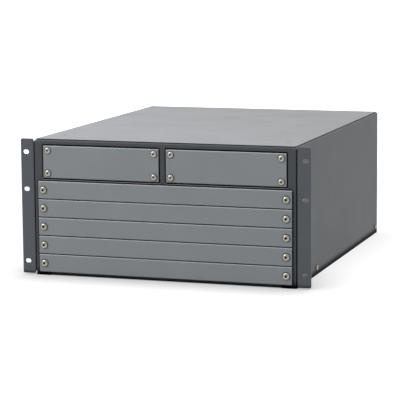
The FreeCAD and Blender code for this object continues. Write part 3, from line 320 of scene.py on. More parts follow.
@dataclass(frozen=True)
class Finish:
    """A node-built surface: grain, tone, dust, worn edges, painted sheen, shade and highlight."""

    name: str
    color: Color
    worn_color: Color
    roughness: float
    metal: Metalness = Metalness.COVERED
    roughness_spread: float = 0.05
    tone_spread: float = 0.07
    grain: float = 1600.0
    cloud: float = 14.0
    bump: float = 0.12
    bump_depth: float = 0.06 * MM
    wear_gain: float = 2.0
    # On the lid this dust is a painted sheen, lighter towards the lit front left; elsewhere it is
    # dust.
    dust_and_sheen: float = 0.04
    dust_and_sheen_color: Color = (0.42, 0.41, 0.39)
    dust_and_sheen_lean: Triple = (0.0, 0.0, 0.0)
    stretch: Triple = (1.0, 1.0, 1.0)
    specular: float = 0.5
    tint: Color = (1.0, 1.0, 1.0)
    coat: float = 0.0
    rounding: float = 0.5 * MM
    reach: float = 6.0 * MM            # how far a gap's walls may stand apart and still get painted shade
    lit: float = 0.86                  # share of open sky from which no shade is painted
    shut: float = 0.56                 # share of open sky below which the painted shade is full
    edge: float = 0.0                  # strength of the painted highlight on upper edges and painted shade on lower ones
    # colour of the painted highlight on edges that look up
    painted_highlight_color: Color = (0.3, 0.3, 0.3)

    def build(self, effects: SharedEffects) -> bpy.types.Material:
        """Make the material.

        Args:
            effects: The shared node groups.

        Returns:
            The material.
        """
        material = bpy.data.materials.new(self.name)
        tree = Tree.fresh(material)
        shader = tree.add("ShaderNodeBsdfPrincipled", {
            "Metallic": self.metal.value, "Specular IOR Level": self.specular,
            "Coat Weight": self.coat, "Specular Tint": (*self.tint, 1.0)})
        place = tree.add("ShaderNodeTexCoord").outputs["Object"]
        mapped = tree.add("ShaderNodeMapping", {"Vector": place, "Scale": self.stretch})
        grain = tree.place(effects.grain, {"Vector": mapped.outputs[0], "Grain": self.grain,
                                           "Cloud": self.cloud})
        wear_and_edge_light = tree.place(effects.wear_and_edge_light, {"Vector": place, "Gain": self.wear_gain,
                                         "PaintedEdgeLight": self.edge})
        dust_and_sheen = tree.place(effects.dust_and_sheen, {"Vector": place, "Amount": self.dust_and_sheen,
                                         "Lean": self.dust_and_sheen_lean}).outputs["Mask"]
        painted_gap_shade = tree.place(effects.painted_gap_shade, {"Reach": self.reach, "Open": self.lit,
                                               "Shut": self.shut})
        # Painted shade in gaps and on edges that look down, taken off edges that look up.
        painted_shade = tree.math("MAXIMUM", painted_gap_shade.outputs["Mask"], wear_and_edge_light.outputs["PaintedShade"])
        painted_shade = tree.math("MULTIPLY", painted_shade, tree.without(wear_and_edge_light.outputs["PaintedHighlight"]))
        tone = grain.outputs["Tone"]
        tree.join(self._base_color(tree, tone, wear_and_edge_light, dust_and_sheen, painted_shade), shader.inputs["Base Color"])
        tree.join(self._roughness(tree, tone, dust_and_sheen, painted_shade), shader.inputs["Roughness"])
        tree.join(self._normal(tree, grain.outputs["Height"]), shader.inputs["Normal"])
        # Under the painted shade a covered finish turns metallic over its near-black colour,
        # darkening its reflection too.
        if self.metal is Metalness.COVERED:
            tree.join(painted_shade, shader.inputs["Metallic"])
        out = tree.add("ShaderNodeOutputMaterial")
        tree.join(shader.outputs[0], out.inputs[0])
        return material

    def _base_color(self, tree: Tree, tone: Socket, wear_and_edge_light: bpy.types.Node, dust_and_sheen: Socket,
                    painted_shade: Socket) -> Socket:
        """Lay tone, rubbed edges, dust, and painted sheen, shade and highlight over one another.

        Args:
            tree: The material's tree.
            tone: The clouds of tone.
            wear_and_edge_light: The node of the rubbed edges' mask and the painted edge light.
            dust_and_sheen: The mask of dust and of painted sheen.
            painted_shade: The mask of painted shade in gaps and on edges that look down.

        Returns:
            The colour.
        """
        low, high = (tuple(c * (1.0 + way * self.tone_spread) for c in self.color)
                     for way in (-1, 1))
        color = tree.blend(tree.remap(tone, TONE_LOW, TONE_HIGH, 0.0, 1.0), low, high)
        color = tree.blend(wear_and_edge_light.outputs["Mask"], color, self.worn_color)
        color = tree.blend(dust_and_sheen, color, self.dust_and_sheen_color)
        # Painted shade in gaps and on edges that look down.
        color = tree.blend(painted_shade, color, tuple(c * PAINTED_SHADE_SHARE for c in self.color))
        # Painted highlight on edges that look up.
        return tree.blend(wear_and_edge_light.outputs["PaintedHighlight"], color, self.painted_highlight_color)

    def _roughness(self, tree: Tree, tone: Socket, dust_and_sheen: Socket, painted_shade: Socket) -> Socket:
        """Vary the roughness with the tone and add the share of dust, sheen and painted shade.

        Args:
            tree: The material's tree.
            tone: The clouds of tone.
            dust_and_sheen: The mask of dust and of painted sheen.
            painted_shade: The mask of painted shade in gaps and on edges that look down.

        Returns:
            The roughness.
        """
        rough = tree.remap(tone, TONE_LOW, TONE_HIGH, self.roughness - self.roughness_spread,
                           self.roughness + self.roughness_spread)
        rough = tree.math("ADD", rough, tree.math("MULTIPLY", dust_and_sheen, DUST_AND_SHEEN_ROUGHNESS))
        return tree.math("ADD", rough, tree.math("MULTIPLY", painted_shade, GAP_ROUGHNESS))

    def _normal(self, tree: Tree, height: Socket) -> Socket:
        """Round the edges and raise the grain.

        Args:
            tree: The material's tree.
            height: The grain's height.

        Returns:
            The normal.
        """
        edge = tree.add("ShaderNodeBevel", {"Radius": self.rounding}, samples=ROUNDING_SAMPLES)
        bump = tree.add("ShaderNodeBump", {"Strength": self.bump, "Distance": self.bump_depth,
                                           "Height": height, "Normal": edge.outputs[0]})
        return bump.outputs[0]


PAINT = dict(roughness=0.42, grain=1500.0, bump=0.14, wear_gain=0.8, tone_spread=0.03,
             roughness_spread=0.02)
BARE = dict(metal=Metalness.BARE, dust_and_sheen=0.0)
DARK = (0.033, 0.0365, 0.043)
RUBBED_DARK = (0.09, 0.095, 0.10)
FINISHES = (
    # Painted highlight on upper edges; painted shade on lower edges and, over a broad reach, in
    # gaps.
    Finish("frame_paint", (0.0435, 0.048, 0.056), RUBBED_DARK, specular=0.33, edge=0.8,
           painted_highlight_color=(0.30, 0.31, 0.32), reach=14.0 * MM, lit=0.93, shut=0.70, **PAINT),
    # The lid's pale, leaning dust is a painted sheen, lighter towards the lit front left.
    Finish("lid_paint", DARK, RUBBED_DARK, specular=0.37, dust_and_sheen=0.24, dust_and_sheen_lean=(-1.8, -2.0, 0.0),
           dust_and_sheen_color=(0.40, 0.425, 0.475), tint=(0.91, 0.955, 1.0),
           **{**PAINT, "roughness": 0.30}),
    Finish("pan_paint", DARK, (0.08, 0.085, 0.09), **PAINT),
    Finish("rear_paint", DARK, RUBBED_DARK, **PAINT),
    # Painted highlight on upper edges; painted shade on lower edges and, over a broad reach, in
    # gaps.
    Finish("ear_paint", (0.064, 0.0715, 0.082), (0.11, 0.115, 0.12), specular=0.38, edge=0.4,
           painted_highlight_color=(0.16, 0.165, 0.17), reach=12.0 * MM, **PAINT),
    # Painted highlight on upper edges and painted shade on lower ones.
    Finish("cover_paint", (0.178, 0.194, 0.206), (0.40, 0.42, 0.44), edge=1.0,
           painted_highlight_color=(0.56, 0.58, 0.60), **PAINT),
    Finish("zinc_sheet", (0.55, 0.56, 0.58), (0.7, 0.7, 0.7), roughness=0.38, grain=420.0,
           cloud=30.0, tone_spread=0.12, stretch=(1.0, 0.2, 1.0), **BARE),
    Finish("screw_nickel", (0.43, 0.405, 0.365), (0.66, 0.64, 0.60), roughness=0.15,
           grain=2600.0, cloud=160.0, tone_spread=0.1, wear_gain=0.6, rounding=0.15 * MM, **BARE),
    Finish("screw_dark", (0.03, 0.031, 0.034), (0.2, 0.2, 0.2), roughness=0.36, grain=2600.0,
           cloud=160.0, dust_and_sheen=0.0),
    Finish("nut_zinc", (0.6, 0.6, 0.58), (0.75, 0.75, 0.73), roughness=0.35, grain=900.0,
           cloud=120.0, **BARE),
    Finish("board", (0.012, 0.085, 0.035), (0.3, 0.28, 0.12), roughness=0.35, cloud=70.0,
           dust_and_sheen=0.02),
    Finish("brass", (0.62, 0.43, 0.17), (0.8, 0.62, 0.32), roughness=0.28, grain=1800.0,
           cloud=120.0, tone_spread=0.12, **BARE),
    Finish("connector_plastic", (0.02, 0.02, 0.022), (0.05, 0.05, 0.05), roughness=0.5,
           cloud=60.0),
    Finish("guide_plastic", (0.03, 0.03, 0.033), (0.06, 0.06, 0.06), roughness=0.5, cloud=60.0),
    Finish("supply_sheet", (0.6, 0.61, 0.62), (0.75, 0.75, 0.75), roughness=0.36, grain=500.0,
           cloud=24.0, stretch=(1.0, 0.25, 1.0), **BARE),
    Finish("inlet_plastic", (0.012, 0.012, 0.013), (0.04, 0.04, 0.04), roughness=0.46,
           grain=2200.0, cloud=90.0, bump=0.25),
    Finish("blade_metal", (0.68, 0.66, 0.6), (0.8, 0.78, 0.7), roughness=0.25, cloud=200.0,
           **BARE),
    Finish("bezel_plastic", (0.014, 0.014, 0.015), (0.05, 0.05, 0.05), roughness=0.42,
           grain=2200.0, cloud=90.0, bump=0.22),
    Finish("rocker_plastic", (0.012, 0.012, 0.013), (0.05, 0.05, 0.05), roughness=0.22,
           grain=2600.0, cloud=110.0, bump=0.05, coat=0.2),
    Finish("mark_white", (0.75, 0.75, 0.73), (0.8, 0.8, 0.8), roughness=0.45, cloud=300.0),
)


class Paints:
    """Every finish as a material, and its place on the solids."""

    def __init__(self) -> None:
        """Build the shared effects and the finishes."""
        effects = SharedEffects()
        self.by_name = {finish.name: finish.build(effects) for finish in FINISHES}

    def __getitem__(self, name: str) -> bpy.types.Material:
        """Return a finish's material."""
        return self.by_name[name]

    def dress_solids(self) -> None:
        """Give each solid the material that is named like its slot."""
        finish_of = {row["node"]: row["material_slot"] for row in frame["record"]["subparts"]}
        for name, node in frame["nodes"].items():
            for slot in node.material_slots:
                slot.material = self.by_name[finish_of[name]]
            log.info("solid %s wears %s", name, finish_of[name])


# ---- Meshes ------------------------------------------------------------------------------------
def new_piece(name: str, mesh: bpy.types.Mesh) -> bpy.types.Object:
    """Link a mesh into the scene as a piece at the origin.

    Args:
        name: The piece's name.
        mesh: Its mesh, in place.

    Returns:
        The piece.
    """
    piece = bpy.data.objects.new(name, mesh)
    bpy.context.scene.collection.objects.link(piece)
    return piece


def finished_mesh(name: str, mesh: bmesh.types.BMesh) -> bpy.types.Mesh:
    """Keep an edited mesh under a name and free it.

    Args:
        name: The mesh's name.
        mesh: The edited mesh, which is gone afterwards.

    Returns:
        The mesh.
    """
    data = bpy.data.meshes.new(name)
    mesh.to_mesh(data)
    mesh.free()
    return data


def rings_mesh(name: str, rings: list[list[Vector]]) -> bpy.types.Mesh:
    """Closed mesh through rings of equally many points, capped at both ends.

    Args:
        name: The mesh's name.
        rings: Rings of points, each joined to the next one.

    Returns:
        The mesh, with outward normals.
    """
    mesh = bmesh.new()
    made = [[mesh.verts.new(point) for point in ring] for ring in rings]
    mesh.faces.new(made[0])
    mesh.faces.new(made[-1])
    for low, high in zip(made, made[1:]):
        for i in range(len(low)):
            mesh.faces.new((low[i - 1], low[i], high[i], high[i - 1]))
    bmesh.ops.recalc_face_normals(mesh, faces=mesh.faces)
    for face in mesh.faces:
        face.smooth = True
    for edge in mesh.edges:
        edge.smooth = edge.calc_face_angle(0.0) < SHARP_FROM
    return finished_mesh(name, mesh)


def merged_copy(node: str) -> bmesh.types.BMesh:
    """Copy a solid's mesh with its loose triangles merged.

    Args:
        node: The node's name.

    Returns:
        The mesh, which the caller frees.
    """
    mesh = bmesh.new()
    mesh.from_mesh(frame["nodes"][node].data)
    bmesh.ops.remove_doubles(mesh, verts=mesh.verts, dist=MERGE_WITHIN)
    return mesh


def islands(node: str) -> list[tuple[Vector, Vector]]:
    """Boxes of the separate solids in a node.

    Args:
        node: The node's name.

    Returns:
        Lowest and highest corner of each solid.
    """
    mesh = merged_copy(node)
    seen: set[bmesh.types.BMVert] = set()
    boxes = []
    for start in mesh.verts:
        if start in seen:
            continue
        pile = [start]
        seen.add(start)
        points = []
        while pile:
            vert = pile.pop()
            points.append(vert.co.copy())
            for edge in vert.link_edges:
                other = edge.other_vert(vert)
                if other not in seen:
                    seen.add(other)
                    pile.append(other)
        low, high = (Vector([pick(p[i] for p in points) for i in range(3)])
                     for pick in (min, max))
        boxes.append((low, high))
    mesh.free()
    return boxes


# ---- Screws ------------------------------------------------------------------------------------
class Head(Enum):
    """The two kinds of screw head."""

    DOMED = "domed"
    FLAT = "flat"


class Way(Enum):
    """The way in which the heads of a set look."""

    FRONT = Vector((0.0, -1.0, 0.0))
    REAR = Vector((0.0, 1.0, 0.0))
    UP = Vector((0.0, 0.0, 1.0))
    DOWN = Vector((0.0, 0.0, -1.0))
    OUTWARD = Vector((1.0, 0.0, 0.0))


@dataclass(frozen=True)
class ScrewForm:
    """Sizes of one kind of screw, in metres, and the rings that make its shape."""

    kind: Head
    thread: float                      # radius
    head: float                        # radius
    height: float                      # of the head
    length: float                      # of the shank
    socket: float                      # across the hexagon's flats
    steps: int = 36                    # points round a ring

    def rings(self) -> list[list[Vector]]:
        """Rings from the shank's end over the head to the floor of its socket.

        Returns:
            Rings of points about the Z axis, with the head above the origin for a domed
            screw and below it for a flat one.
        """
        tip, tip_length = 0.7 * self.thread, 0.5 * MM
        profile = [(tip, -self.length), (self.thread, -self.length + tip_length)]
        if self.kind is Head.DOMED:
            profile += self._domed_head()
            top, depth = self.height, 0.62 * self.height
        else:
            profile += self._flat_head()
            top, depth = 0.0, 0.6 * self.height
        lead = 0.05 * self.socket
        return [self._ring(radius, height) for radius, height in profile] + [
            self._hexagon(self.socket + 2 * lead, top), self._hexagon(self.socket, top - lead),
            self._hexagon(self.socket, top - depth),
            self._ring(0.02 * self.socket, top - 1.15 * depth)]

    def _domed_head(self) -> list[tuple[float, float]]:
        """Outline of a domed head, from under it to its flat top.

        Returns:
            Radius and height of each ring.
        """
        rim, dome = 0.16, 0.84         # shares of the height
        crown, curve = 0.52, 0.48      # shares of the radius: flat top and curved rest
        outline = [(self.thread, 0.0), (0.94 * self.head, 0.0),
                   (self.head, 0.06 * self.height), (self.head, rim * self.height)]
        for share in (0.18, 0.36, 0.54, 0.72, 0.88, 1.0):
            turn = share * math.pi / 2
            outline.append((self.head * (crown + curve * math.cos(turn)),
                            self.height * (rim + dome * math.sin(turn))))
        return outline

    def _flat_head(self) -> list[tuple[float, float]]:
        """Outline of a flat head that is sunk into the sheet.

        Returns:
            Radius and height of each ring.
        """
        return [(self.thread, -self.height), (self.head, -0.12 * self.height),
                (self.head, -0.03 * self.height), (0.96 * self.head, 0.0)]

    def _ring(self, radius: float, height: float) -> list[Vector]:
        """Points of a circle about the Z axis."""
        angles = [2 * math.pi * i / self.steps for i in range(self.steps)]
        return [Vector((radius * math.cos(a), radius * math.sin(a), height)) for a in angles]

    def _hexagon(self, flats: float, height: float) -> list[Vector]:
        """Points of a hexagon about the Z axis, as many as a circle has.

        Args:
            flats: Its size across the flats.
            height: Its place on the axis.

        Returns:
            The points.
        """
        points = []
        for i in range(self.steps):
            angle = 2 * math.pi * i / self.steps
            within = (angle + math.pi / 6) % (math.pi / 3) - math.pi / 6
            radius = flats / 2 / math.cos(within)
            points.append(Vector((radius * math.cos(angle), radius * math.sin(angle), height)))
        return points


class Scatter:
    """Geometry Nodes that set a mesh on points and turn each one to its own aim."""

    AIM = "aim"

    def __init__(self) -> None:
        """Build the node group with its named inputs."""
        self.group = bpy.data.node_groups.new("scatter", "GeometryNodeTree")
        face = self.group.interface
        face.new_socket("Geometry", in_out="INPUT", socket_type="NodeSocketGeometry")
        kinds = {"Piece": "NodeSocketObject", "Spin": "NodeSocketFloat",
                 "Seed": "NodeSocketInt", "Finish": "NodeSocketMaterial"}
        self.sockets = {
            label: face.new_socket(label, in_out="INPUT", socket_type=kind).identifier
            for label, kind in kinds.items()}
        face.new_socket("Geometry", in_out="OUTPUT", socket_type="NodeSocketGeometry")
        self._fill(Tree(self.group))

    def _fill(self, tree: Tree) -> None:
        """Add the nodes.

        Args:
            tree: The group's tree.
        """
        given = tree.add("NodeGroupInput")
        piece = tree.add("GeometryNodeObjectInfo", {"Object": given.outputs["Piece"]})
        aim = tree.add("GeometryNodeInputNamedAttribute", {"Name": self.AIM},
                       data_type="FLOAT_VECTOR")
        turned = tree.add("FunctionNodeAlignRotationToVector", {"Vector": aim.outputs[0]},
                          axis="Z")
        spin = tree.add("FunctionNodeRandomValue", {2: 0.0, 3: given.outputs["Spin"],
                                                    "Seed": given.outputs["Seed"]},
                        data_type="FLOAT")
        about = tree.add("FunctionNodeAxisAngleToRotation", {"Axis": (0.0, 0.0, 1.0),
                                                             "Angle": spin.outputs[1]})
        both = tree.add("FunctionNodeRotateRotation", {0: turned.outputs[0],
                                                       1: about.outputs[0]},
                        rotation_space="LOCAL")
        placed = tree.add("GeometryNodeInstanceOnPoints", {
            "Points": given.outputs["Geometry"], "Instance": piece.outputs["Geometry"],
            "Rotation": both.outputs[0]})
        real = tree.add("GeometryNodeRealizeInstances", {0: placed.outputs[0]})
        dressed = tree.add("GeometryNodeSetMaterial", {"Geometry": real.outputs[0],
                                                       "Material": given.outputs["Finish"]})
        out = tree.add("NodeGroupOutput")
        tree.join(dressed.outputs[0], out.inputs[0])

    def spread(self, name: str, form: bpy.types.Mesh, places: list[tuple[Vector, Vector]],
               spin: float, material: bpy.types.Material) -> bpy.types.Object:
        """Set a mesh on every place and keep the result as one plain mesh.

        Args:
            name: The new piece's name.
            form: The mesh that is set on the places.
            places: Place and aim of each copy.
            spin: Widest turn about the aim, in radians.
            material: What the copies wear.

        Returns:
            The piece.
        """
        points = bpy.data.meshes.new(name + "_points")
        points.from_pydata([place for place, _ in places], [], [])
        aims = points.attributes.new(self.AIM, "FLOAT_VECTOR", "POINT")
        aims.data.foreach_set("vector", [c for _, aim in places for c in aim])
        seed_piece = new_piece(name + "_seed", form)
        carrier = new_piece(name + "_carrier", points)
        modifier = carrier.modifiers.new("scatter", "NODES")
        modifier.node_group = self.group
        values = {"Piece": seed_piece, "Spin": spin, "Seed": SEED, "Finish": material}
        for label, value in values.items():
            modifier[self.sockets[label]] = value
        graph = bpy.context.evaluated_depsgraph_get()
        mesh = bpy.data.meshes.new_from_object(carrier.evaluated_get(graph))
        mesh.name = name
        for helper in (carrier, seed_piece):
            bpy.data.objects.remove(helper)
        return new_piece(name, mesh)


@dataclass(frozen=True)
class ScrewSet:
    """A group of like screws that stands in the place of one of the solids' groups."""

    node: str
    form: ScrewForm
    way: Way
    finish: str
    spin: float = math.pi / 3          # each screw stops at a turn of its own, up to this

    def places(self) -> list[tuple[Vector, Vector]]:
        """Where the screws sit and which way their heads look.

        Returns:
            For each solid the point at the head's base (domed) or face (flat), and its aim.
        """
        sink = self.form.height if self.form.kind is Head.DOMED else 0.0
        found = []
        for low, high in islands(self.node):
            middle = (low + high) / 2
            aim = self.way.value
            if self.way is Way.OUTWARD:
                aim = aim * math.copysign(1.0, middle.x)
            outer = max(aim.dot(low), aim.dot(high))
            face = middle + aim * (outer - aim.dot(middle))
            found.append((face - aim * sink, aim))
        return found

    def build(self, scatter: Scatter, paints: Paints) -> bpy.types.Object:
        """Make the screws and put them in the solids' place.

        Args:
            scatter: The node group that sets them.
            paints: The finishes.

        Returns:
            The piece.
        """
        places = self.places()
        form = rings_mesh(self.node + "_form", self.form.rings())
        name = self.node.replace("screws", "detailed_screws")
        piece = scatter.spread(name, form, places, self.spin, paints[self.finish])
        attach(piece, CHASSIS)
        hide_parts(self.node)
        log.info("%s: %d screws, %d faces", name, len(places), len(piece.data.polygons))
        return piece


BAY_SCREW = ScrewForm(Head.DOMED, 2.5 * MM, 5.3 * MM, 2.9 * MM, 9.0 * MM, 3.0 * MM)
SLOT_SCREW = ScrewForm(Head.DOMED, 3.0 * MM, 5.8 * MM, 3.4 * MM, 11.0 * MM, 4.0 * MM)
SIDE_SCREW = ScrewForm(Head.DOMED, 2.0 * MM, 3.9 * MM, 2.2 * MM, 7.0 * MM, 2.5 * MM)
FLAT_SCREW = ScrewForm(Head.FLAT, 1.5 * MM, 3.0 * MM, 1.4 * MM, 6.0 * MM, 2.0 * MM)
SCREWS = (
    ScrewSet("bay_screws", BAY_SCREW, Way.FRONT, "screw_nickel"),
    ScrewSet("slot_screws", SLOT_SCREW, Way.FRONT, "screw_nickel"),
    ScrewSet("side_screws", SIDE_SCREW, Way.OUTWARD, "screw_nickel"),
    ScrewSet("ear_screws", SIDE_SCREW, Way.OUTWARD, "screw_nickel"),
    ScrewSet("lid_screws", FLAT_SCREW, Way.UP, "screw_dark"),
    ScrewSet("floor_screws", FLAT_SCREW, Way.DOWN, "screw_dark"),
    ScrewSet("inlet_screws", FLAT_SCREW, Way.REAR, "screw_dark"),
    ScrewSet("rear_panel_screws", FLAT_SCREW, Way.OUTWARD, "screw_dark"),
)


# ---- Rocker marks ------------------------------------------------------------------------------
@dataclass(frozen=True)
class RockerMarks:
    """Bar and ring moulded into the two faces of a rocker."""

    node: str
    bar: tuple[float, float] = (0.9 * MM, 4.4 * MM)    # width and height
    ring: tuple[float, float] = (1.5 * MM, 2.3 * MM)   # inner and outer radius
    rise: float = 0.05 * MM
    sink: float = 0.3 * MM
    steps: int = 40

    def build(self, paints: Paints) -> bpy.types.Object:
        """Make the marks and let them turn with the rocker.

        Args:
            paints: The finishes.

        Returns:
            The piece.
        """
        mesh = bmesh.new()
        (upper, upper_normal), (lower, lower_normal) = self.faces()
        self._bar(mesh, upper, upper_normal)
        self._ring(mesh, lower, lower_normal)
        bmesh.ops.recalc_face_normals(mesh, faces=mesh.faces)
        name = self.node + "_marks"
        data = finished_mesh(name, mesh)
        piece = new_piece(name, data)
        data.materials.append(paints["mark_white"])
        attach(piece, self.node)
        log.info("%s: %d faces", name, len(data.polygons))
        return piece

    def faces(self) -> list[tuple[Vector, Vector]]:
        """Find the rocker's two flat faces, each in pieces that look the same way.

        Returns:
            Middle and normal of each, the upper one first.
        """
        rearward, finely = 0.8, 50     # how far a face looks to the rear, how alike normals are
        mesh = merged_copy(self.node)
        sums: dict[tuple[int, ...], list] = {}
        for face in mesh.faces:
            if face.normal.y > rearward:
                key = tuple(round(c * finely) for c in face.normal)
                part = sums.setdefault(key, [0.0, Vector((0.0, 0.0, 0.0)), face.normal.copy()])
                area = face.calc_area()
                part[0] += area
                part[1] += face.calc_center_median() * area
        mesh.free()
        largest = sorted(sums.values(), key=lambda part: -part[0])[:2]
        return sorted(((part[1] / part[0], part[2]) for part in largest),
                      key=lambda pair: -pair[0].z)

    @staticmethod
    def _axes(normal: Vector) -> tuple[Vector, Vector]:
        """Return across and up on a face."""
        across = Vector((1.0, 0.0, 0.0))
        return across, normal.cross(across).normalized()

    def _bar(self, mesh: bmesh.types.BMesh, middle: Vector, normal: Vector) -> None:
        """Add the upright bar.

        Args:
            mesh: The mesh that gets it.
            middle: Middle of the face.
            normal: The face's normal.
        """
        across, up = self._axes(normal)
        half_width, half_height = self.bar[0] / 2, self.bar[1] / 2
        corners = ((-1, -1), (1, -1), (1, 1), (-1, 1))
        low, high = ([mesh.verts.new(middle + across * (a * half_width) + up * (b * half_height)
                                     + normal * level) for a, b in corners]
                     for level in (-self.sink, self.rise))
        mesh.faces.new(low)
        mesh.faces.new(high)
        for i in range(len(corners)):
            mesh.faces.new((low[i - 1], low[i], high[i], high[i - 1]))

    def _ring(self, mesh: bmesh.types.BMesh, middle: Vector, normal: Vector) -> None:
        """Add the round ring.

        Args:
            mesh: The mesh that gets it.
            middle: Middle of the face.
            normal: The face's normal.
        """
        across, up = self._axes(normal)
        inner, outer = self.ring
        section = ((inner, -self.sink), (inner, self.rise), (outer, self.rise),
                   (outer, -self.sink))
        turns = []
        for i in range(self.steps):
            angle = 2 * math.pi * i / self.steps
            out = across * math.cos(angle) + up * math.sin(angle)
            turns.append([mesh.verts.new(middle + out * radius + normal * level)
                          for radius, level in section])
        for i in range(self.steps):
            before, here = turns[i - 1], turns[i]
            for k in range(len(section)):
                mesh.faces.new((before[k - 1], before[k], here[k], here[k - 1]))


# ---- Studio ------------------------------------------------------------------------------------
@dataclass(frozen=True)
class Lamp:
    """One soft lamp."""

    name: str
    place: Triple
    aim: Triple
    width: float
    height: float
    power: float

    def build(self) -> None:
        """Make the area lamp and turn it to its aim."""
        data = bpy.data.lights.new(self.name, "AREA")
        data.shape = "RECTANGLE"
        data.size = self.width
        data.size_y = self.height
        data.energy = self.power
        body = bpy.data.objects.new(self.name, data)
        bpy.context.scene.collection.objects.link(body)
        body.location = self.place
        way = Vector(self.aim) - Vector(self.place)
        body.rotation_euler = way.to_track_quat("-Z", "Y").to_euler()


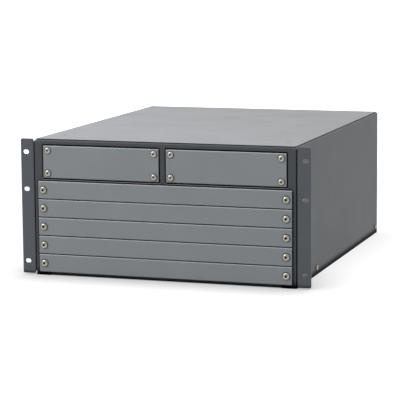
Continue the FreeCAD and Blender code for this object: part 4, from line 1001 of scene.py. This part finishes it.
@dataclass(frozen=True)
class Studio:
    """Pale floor, soft light and the camera."""

    looks_at: Triple = (-0.0262, -0.0118, 0.0912)
    azimuth: float = 18.51
    elevation: float = 8.56
    roll: float = -0.455
    distance: float = 3.121
    focal: float = 163.6
    sensor: float = 36.0
    sky: float = 0.62                  # strength of the light from all round
    bright_side: Triple = (-0.4, 0.45, 0.8)        # where the room is lightest in reflections
    room_span: tuple[float, float] = (-0.45, 0.55)
    room_low: float = 0.3
    room_high: float = 1.12
    floor_size: float = 30.0           # from its middle to its sides
    floor_matte: float = 0.82          # tone by which the floor lights the chassis
    floor_tone: float = 0.12           # tone that is seen, under the glow
    floor_lift: float = 0.98
    floor_mirrored: float = 0.84
    floor_clears: tuple[float, float] = (0.8, 3.0)  # where shadows fade out
    # reach and samples of the painted contact shadow in the floor's glow
    contact_reach: float = 0.09
    contact_samples: int = 16
    side_contact: float = 0.35         # share of the front's painted contact shadow at the sides
    side_span: tuple[float, float] = (-0.3, -0.1)   # painted contact shadow, from front to sides
    lamps: tuple[Lamp, ...] = (
        Lamp("key", (-1.35, -1.75, 1.5), (0.0, 0.0, 0.1), 1.1, 0.9, 26.0),
        Lamp("fill", (2.4, -0.6, 1.2), (0.0, 0.0, 0.1), 1.4, 1.4, 5.0),
        Lamp("overhead", (0.0, 0.5, 2.6), (0.0, 0.1, 0.2), 2.0, 2.0, 22.0),
    )

    def build(self) -> None:
        """Make the world, floor, lamps and camera."""
        self._world()
        self._floor()
        for lamp in self.lamps:
            lamp.build()
        self._camera()
        bpy.context.scene.view_settings.view_transform = "Standard"

    def _world(self) -> None:
        """White to the eye, lighter above and to the left in reflections, softer as a light."""
        world = bpy.data.worlds.new("studio")
        bpy.context.scene.world = world
        tree = Tree.fresh(world)
        path = tree.add("ShaderNodeLightPath").outputs
        looks = tree.add("ShaderNodeTexCoord").outputs["Generated"]
        toward = tree.add("ShaderNodeVectorMath", {0: looks, 1: self.bright_side},
                          operation="DOT_PRODUCT")
        room = tree.remap(toward.outputs["Value"], *self.room_span, self.room_low,
                          self.room_high)
        shiny = tree.math("MAXIMUM", path["Is Glossy Ray"], path["Is Transmission Ray"])
        strength = tree.add("ShaderNodeMix", {0: shiny, 2: self.sky, 3: room},
                            data_type="FLOAT")
        final = tree.add("ShaderNodeMix", {0: path["Is Camera Ray"], 2: strength.outputs[0],
                                           3: 1.0}, data_type="FLOAT")
        light = tree.add("ShaderNodeBackground", {"Color": WHITE, "Strength": final.outputs[0]})
        out = tree.add("ShaderNodeOutputWorld")
        tree.join(light.outputs[0], out.inputs[0])

    def _floor(self) -> None:
        """Lay a broad pale floor."""
        size = self.floor_size
        mesh = bpy.data.meshes.new("floor")
        corners = [(-size, -size, 0), (size, -size, 0), (size, size, 0), (-size, size, 0)]
        mesh.from_pydata(corners, [], [(0, 1, 2, 3)])
        floor = new_piece("floor", mesh)
        mesh.materials.append(self._floor_material())

    def _floor_material(self) -> bpy.types.Material:
        """Make a floor with the lamps' shadows, a painted contact shadow and white elsewhere.

        Returns:
            The material.
        """
        material = bpy.data.materials.new("floor")
        tree = Tree.fresh(material)
        path = tree.add("ShaderNodeLightPath").outputs
        direct = path["Is Camera Ray"]
        seen = tree.math("MAXIMUM", direct, path["Is Glossy Ray"])
        tone = tree.blend(seen, (self.floor_matte,) * 3, (self.floor_tone,) * 3)
        matte = tree.add("ShaderNodeBsdfDiffuse", {"Color": tone})
        # Painted contact shadow: the glow dims where the chassis hides the surroundings, less at
        # the sides.
        near = tree.add("ShaderNodeAmbientOcclusion", {"Distance": self.contact_reach},
                        samples=self.contact_samples)
        place = tree.add("ShaderNodeTexCoord").outputs["Object"]
        along = tree.add("ShaderNodeSeparateXYZ", {0: place}).outputs["Y"]
        weight = tree.remap(along, *self.side_span, 1.0, self.side_contact)
        painted_contact_shadow = tree.math("MULTIPLY", tree.without(near.outputs["AO"]), weight)
        lift = tree.math("MULTIPLY", tree.without(painted_contact_shadow), self.floor_lift)
        away = tree.add("ShaderNodeVectorMath", {0: place}, operation="LENGTH")
        clear = tree.remap(away.outputs["Value"], *self.floor_clears, 0.0, 1.0)
        lift = tree.math("ADD", lift, clear)
        mirrored = tree.math("MULTIPLY", tree.math("SUBTRACT", seen, direct),
                             self.floor_mirrored)
        strength = tree.math("ADD", tree.math("MULTIPLY", lift, direct), mirrored)
        glow = tree.add("ShaderNodeEmission", {"Color": WHITE, "Strength": strength})
        both = tree.add("ShaderNodeAddShader", {0: matte.outputs[0], 1: glow.outputs[0]})
        out = tree.add("ShaderNodeOutputMaterial")
        tree.join(both.outputs[0], out.inputs[0])
        return material

    def _camera(self) -> None:
        """Stand the camera before the right front corner, a little above, and roll it."""
        turn, rise, roll = (math.radians(a) for a in (self.azimuth, self.elevation, self.roll))
        back = Vector((math.sin(turn) * math.cos(rise), -math.cos(turn) * math.cos(rise),
                       math.sin(rise)))
        right = (-back).cross(Vector((0, 0, 1))).normalized()
        up = right.cross(-back)
        right, up = (math.cos(roll) * right + math.sin(roll) * up,
                     math.cos(roll) * up - math.sin(roll) * right)
        place = Vector(self.looks_at) + back * self.distance
        data = bpy.data.cameras.new("camera")
        data.lens = self.focal
        data.sensor_width = self.sensor
        camera = bpy.data.objects.new("camera", data)
        bpy.context.scene.collection.objects.link(camera)
        turned = Matrix((right, up, back)).transposed().to_4x4()
        camera.matrix_world = Matrix.Translation(place) @ turned
        bpy.context.scene.camera = camera


def main() -> None:
    """Dress the chassis piece by piece and build the studio."""
    paints = Paints()
    paints.dress_solids()
    scatter = Scatter()
    pieces = [screw_set.build(scatter, paints) for screw_set in SCREWS]
    pieces += [RockerMarks(node).build(paints) for node in ROCKERS]
    Studio().build()
    log.info("%d pieces added to %d solids", len(pieces), len(frame["nodes"]))


if __name__ == "__main__":
    main()
